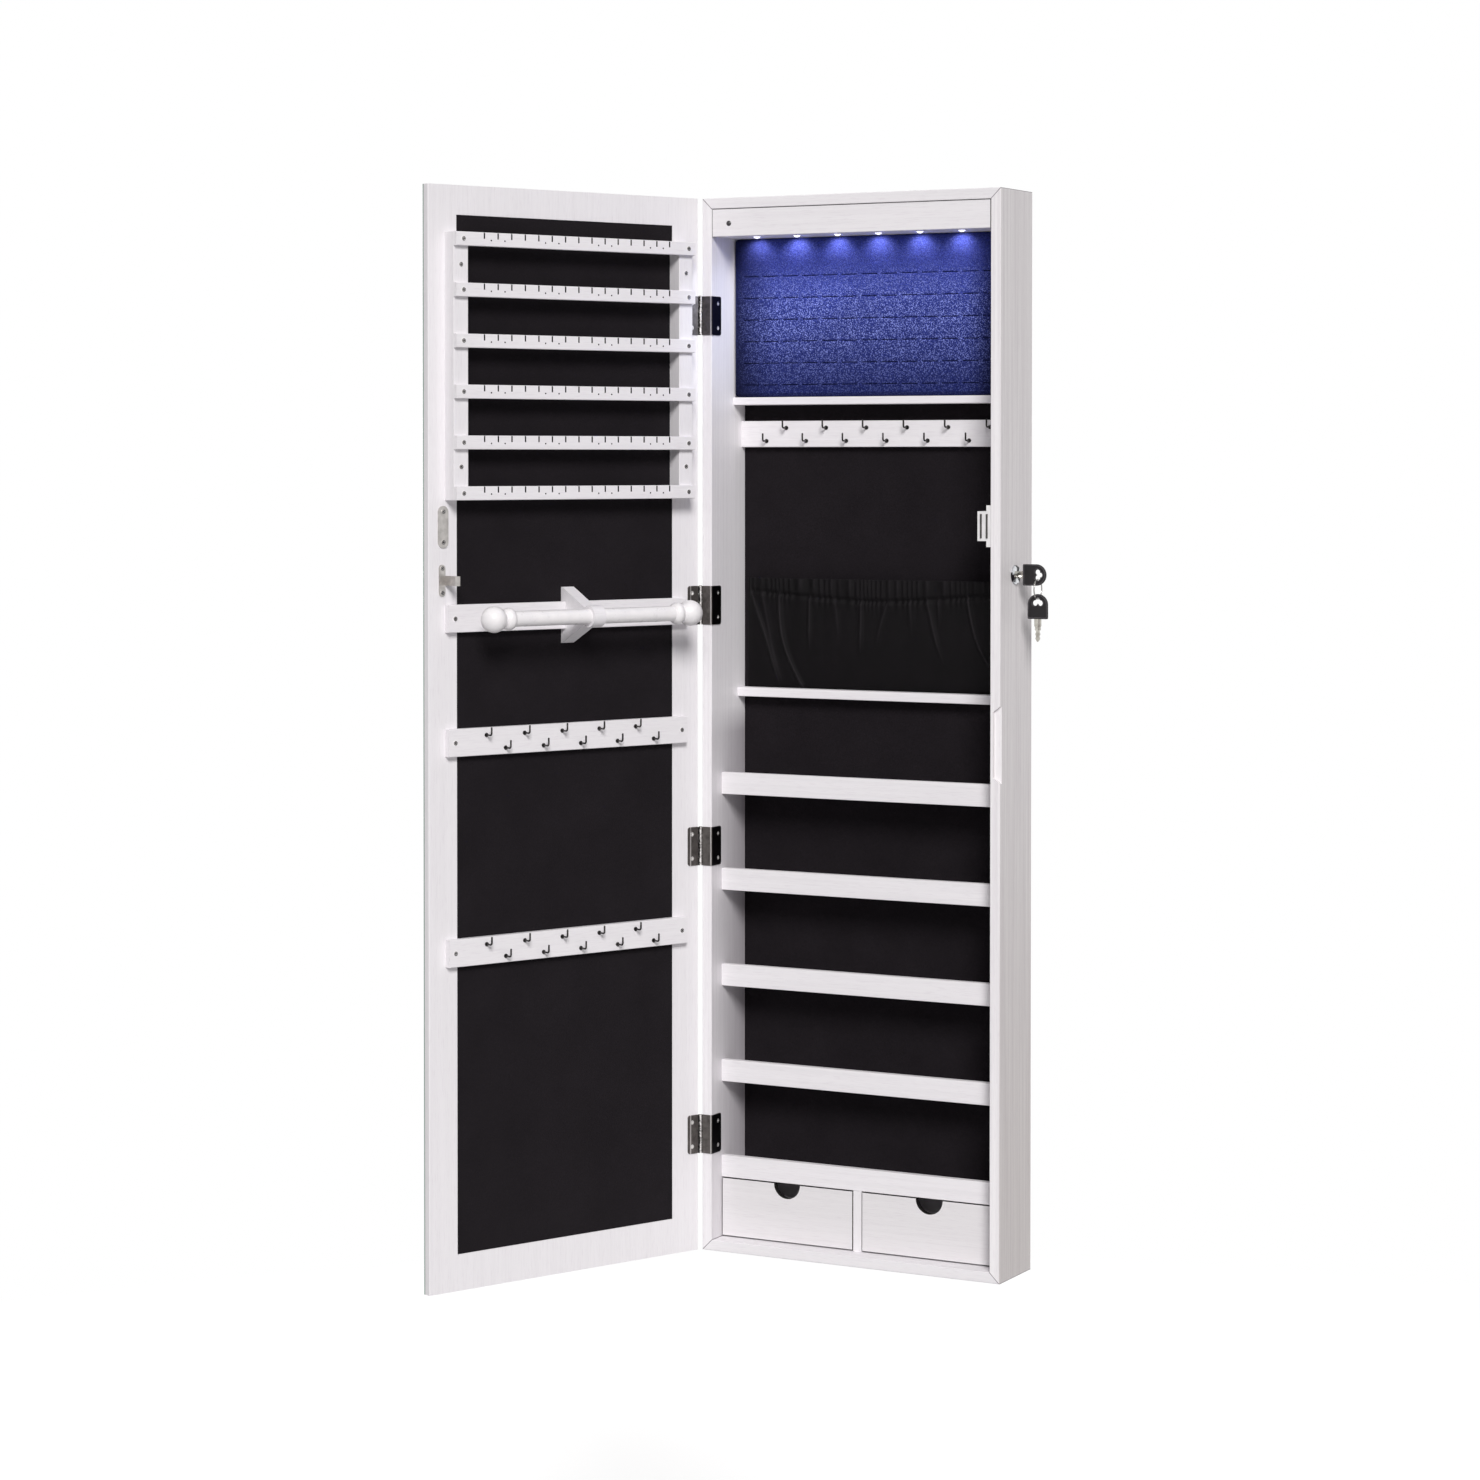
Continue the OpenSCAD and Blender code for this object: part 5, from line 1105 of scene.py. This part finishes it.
def screw_grid(cone):
    """Points (rows, columns, 4) of a screw that points along -Z with its head's underside at 0. The
    recess is a cross: where the nearer of |x| and |y| is under 0.42 mm, the top sinks by 0.75 * (1 -
    r / 1.75) mm. The fourth number is painted shade: on a domed head the cross and the rim are
    painted dark, for the shade in the recess and round the head's edge, and the middle is bare."""
    spin = np.linspace(0, 2 * math.pi, 40, endpoint=False)
    top_r = np.array([head_r - 0.25, 1.7, 1.5, 1.3, 1.05, 0.8, 0.55, 0.3, 0.12])
    top_h = np.full(top_r.shape, 0.8) if cone else 0.8 + 0.12 * (1 - (top_r / head_r) ** 2)
    r = np.concatenate([[0.5, 1.1, 1.1], [1.15, head_r] if cone else [head_r, head_r - 0.08], top_r])
    h = np.concatenate([[-shank_l, -6.3, -0.05], [0, 0.74] if cone else [0, 0.6], top_h])
    x, y = r[:, None] * np.cos(spin), r[:, None] * np.sin(spin)
    arm = np.minimum(np.abs(x), np.abs(y)) < 0.42
    top = (np.arange(r.size) > 4)[:, None]
    sink = 0.75 * np.clip(1 - r[:, None] / 1.75, 0, 1) * arm * top * (r < 1.6)[:, None]
    deep = top * np.where(r[:, None] > 1.55, 0.85, 0.2 + 0.8 * arm) * (0.0 if cone else 1.0)
    return np.stack([x, y, h[:, None] - sink, deep], -1)


def screws(name, place, out, length, cone, door):
    """All screws of one part: point = place + x * a + y * b + z * out, where a and b are turned about
    out by a new angle for each screw, and shanks are stretched to their length."""
    grid = np.where(cone[:, None, None, None], screw_grid(True), screw_grid(False))
    depth = grid[..., 2]
    grid[..., 2] = np.where(depth < -1, depth * (length / shank_l)[:, None, None], depth)
    count, rows, cols = grid.shape[:3]
    spin = 2.4 * np.arange(count)[:, None]
    up = np.array([0.0, 0.0, 1.0])
    a = np.cos(spin) * np.cross(out, up) + np.sin(spin) * up
    axes = np.stack([a, np.cross(out, a), out], 1)
    points = np.einsum("nrck,nkj->nrcj", grid[..., :3], axes) + place[:, None, None]
    points = on_door(points) if door else points
    ends = np.stack([points[:, 0].mean(1), points[:, -1].mean(1)], 1)
    every = np.concatenate([points.reshape(count, -1, 3), ends], 1)
    quads, fans = outwards(every[0], grid_faces(rows, cols, False, True), end_fans(rows, cols))
    step = np.arange(count)[:, None, None] * every.shape[1]
    faces = (quads + step).reshape(-1, 4).tolist() + (fans + step).reshape(-1, 3).tolist()
    made = piece(name, every.reshape(-1, 3), faces, smooth_below=35)
    end_recess_shade = np.stack([np.zeros(count), grid[:, -1, 0, 3]], -1)
    mark(made, "painted_recess_shade", np.concatenate([grid[..., 3].reshape(count, -1), end_recess_shade], 1))
    made.data.materials.append(screw_zinc)
    return made


# %% Places of the screws
def spots(x, y, z):
    """Every combination of the given x, y and z."""
    return np.stack(np.meshgrid(x, y, z, indexing="ij"), -1).reshape(-1, 3).astype(float)


hinge_mid = np.array([133.0, 462.5, 737.5, 1067.0]) - half_h
hinge_z = (hinge_mid[:, None] + np.array([-13.86, 13.86])).ravel()
catch_z, catch_hole = 230.6, 19.55
groups = [
    (spots([-172.8], [-71.95], hinge_z), (1, 0, 0), 7.5, True),
    (spots([168.0], [-79.3], [catch_z - catch_hole, catch_z + catch_hole]), (-1, 0, 0), 7.5, False),
    (spots([-141.28, -108.72, 108.72, 141.28], [-2.3], [574.15]), (0, 1, 0), 7.5, False),
]
door_groups = [
    (spots([-154, 154], [-65.5], slat_z - slat_pitch * np.arange(6)), (0, 1, 0), 12.5, False),
    (spots([-154, 154], [-70.5], [295.6, 513.6]), (0, 1, 0), 25.0, False),
    (spots([-155.5, 155.5], [-80.0], [131.6, -2.9, -230.9]), (0, 1, 0), 15.5, False),
    (spots([-176.0], [-87.8], hinge_z), (0, 1, 0), 7.5, True),
    (spots([166.2], [-86.8], [214.1, 247.1]), (0, 1, 0), 7.5, False),
    (spots([167.6], [-86.8], [159.55, 186.05]), (0, 1, 0), 7.5, False),
]
for name, parts, door, body, node in (
    ("cabinet_screw_set", groups, False, "cabinet", "cabinet_screws"),
    ("door_screw_set", door_groups, True, "door", "door_screws"),
):
    place = np.vstack([part[0] for part in parts])
    count = [len(part[0]) for part in parts]
    out, length, cone = (np.repeat([part[k] for part in parts], count, axis=0) for k in (1, 2, 3))
    made = screws(name, place, out.astype(float), length, cone, door)
    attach(made, body)
    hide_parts(node)

# %% [markdown]
# ## The studio
#
# The cabinet hangs on a wall that a photographer has made vanish: everything round it is
# plain white. The world gives an even light to the object and shows as white to the camera,
# to glossy reflections and through glass. A sun from the front right, 20 degrees across so
# that its shadows are soft, makes the boards' faces read a little brighter than their sides.
# A lamp behind lights the back. The lamps stay weak enough that white boards keep their grey.

# %% World
def empty_tree(owner):
    """The node tree of a world or a material, with nothing in it."""
    owner.use_nodes = True
    owner.node_tree.nodes.clear()
    return owner.node_tree


def seen_by(tree, *kinds):
    """1 for a ray of one of these kinds and 0 for any other."""
    rays = add(tree, "LightPath").outputs
    seen = rays[kinds[0]]
    for kind in kinds[1:]:
        seen = add(tree, "Math", {"operation": "MAXIMUM"}, {0: seen, 1: rays[kind]})
    return seen


world = bpy.data.worlds.new("white_studio")
bpy.context.scene.world = world
tree = empty_tree(world)
seen = seen_by(tree, "Is Camera Ray", "Is Glossy Ray", "Is Transmission Ray")
even = add(tree, "Background", None, {"Color": "#fdfcff", "Strength": 0.25})
plain = add(tree, "Background", None, {"Color": "#ffffff", "Strength": 1.0})
choice = add(tree, "MixShader", None, {0: seen, 1: even, 2: plain})
add(tree, "OutputWorld", None, {"Surface": choice})
print("world:", world.name)

# %% Lamps
warm_white = (1.0, 0.99, 0.98)
hang_lamp(
    "key_light", "SUN", (0, 0, 0), (math.radians(90 - 32), 0, math.radians(34)),
    2.65, warm_white, angle=math.radians(20),
)
# A lamp that faces the origin leans by the angle between its place and straight up
back_x, back_y, back_z = -2.4, 2.4, 0.8
lean = math.atan2(math.hypot(back_x, back_y), back_z)
back_lamp = hang_lamp(
    "back_lamp", "AREA", (back_x, back_y, back_z), (lean, 0, math.atan2(back_x, -back_y)),
    60, warm_white, size=1.8,
)
back_lamp.visible_camera = False
print("sun and back lamp:", round(math.degrees(lean)), "degrees of lean")

# %% [markdown]
# A floor of white paper well below takes a soft shadow. To the camera and in glossy
# reflections it also glows a little, so that it shows as white, and further out it turns
# into plain white, so that its far edge can't be seen.

# %% Floor
floor_z, floor_half = -1.25, 30
floor_mesh = bpy.data.meshes.new("studio_floor")
corners = [(x * floor_half, y * floor_half, floor_z) for x, y in ((-1, -1), (1, -1), (1, 1), (-1, 1))]
floor_mesh.from_pydata(corners, [], [(0, 1, 2, 3)])
floor = in_scene("studio_floor", floor_mesh)
paper = bpy.data.materials.new("white_paper_sweep")
tree = empty_tree(paper)
seen = seen_by(tree, "Is Camera Ray", "Is Glossy Ray")
sheet_paper = add(tree, "BsdfDiffuse", None, {"Color": "#c6c6c6"})
glow = add(tree, "Emission", None, {"Color": "#ffffff", "Strength": 0.58})
lit = add(tree, "AddShader", None, {0: sheet_paper, 1: glow})
white = add(tree, "Emission", None, {"Color": "#ffffff", "Strength": 1.0})
away = add(tree, "VectorMath", {"operation": "LENGTH"}, {0: add(tree, "TexCoord").outputs["Object"]})
far = add(tree, "MapRange", None, {"Value": away, "From Min": 1.8, "From Max": 3.2})
shown = add(tree, "MixShader", None, {0: far, 1: lit, 2: white})
floor_mix = add(tree, "MixShader", None, {0: seen, 1: sheet_paper, 2: shown})
add(tree, "OutputMaterial", None, {"Surface": floor_mix})
floor_mesh.materials.append(paper)
print("floor at", floor_mesh.vertices[0].co.z, "m")

# %% [markdown]
# ## The camera
#
# The photograph was taken from the front right, a little above the cabinet's middle, with a
# long lens. The camera's place, turn and lens were worked out from the straight edges in it.

# %% Camera
lens_data = bpy.data.cameras.new("front_right_camera")
lens_data.lens, lens_data.sensor_width, lens_data.sensor_fit = 87.96, 36.0, "HORIZONTAL"
lens_data.shift_x, lens_data.shift_y = 0.0231, -0.1414
lens_data.clip_end = 100
camera = in_scene("front_right_camera", lens_data)
camera.location = (1.7829, -3.7049, 0.3050)
camera.rotation_euler = (math.radians(90 - 1.15), 0, math.radians(28.48))
bpy.context.scene.camera = camera
bpy.context.scene.view_settings.view_transform = "Standard"
print("camera at", tuple(round(k, 2) for k in camera.location))

# %% Finish
bpy.context.view_layer.update()
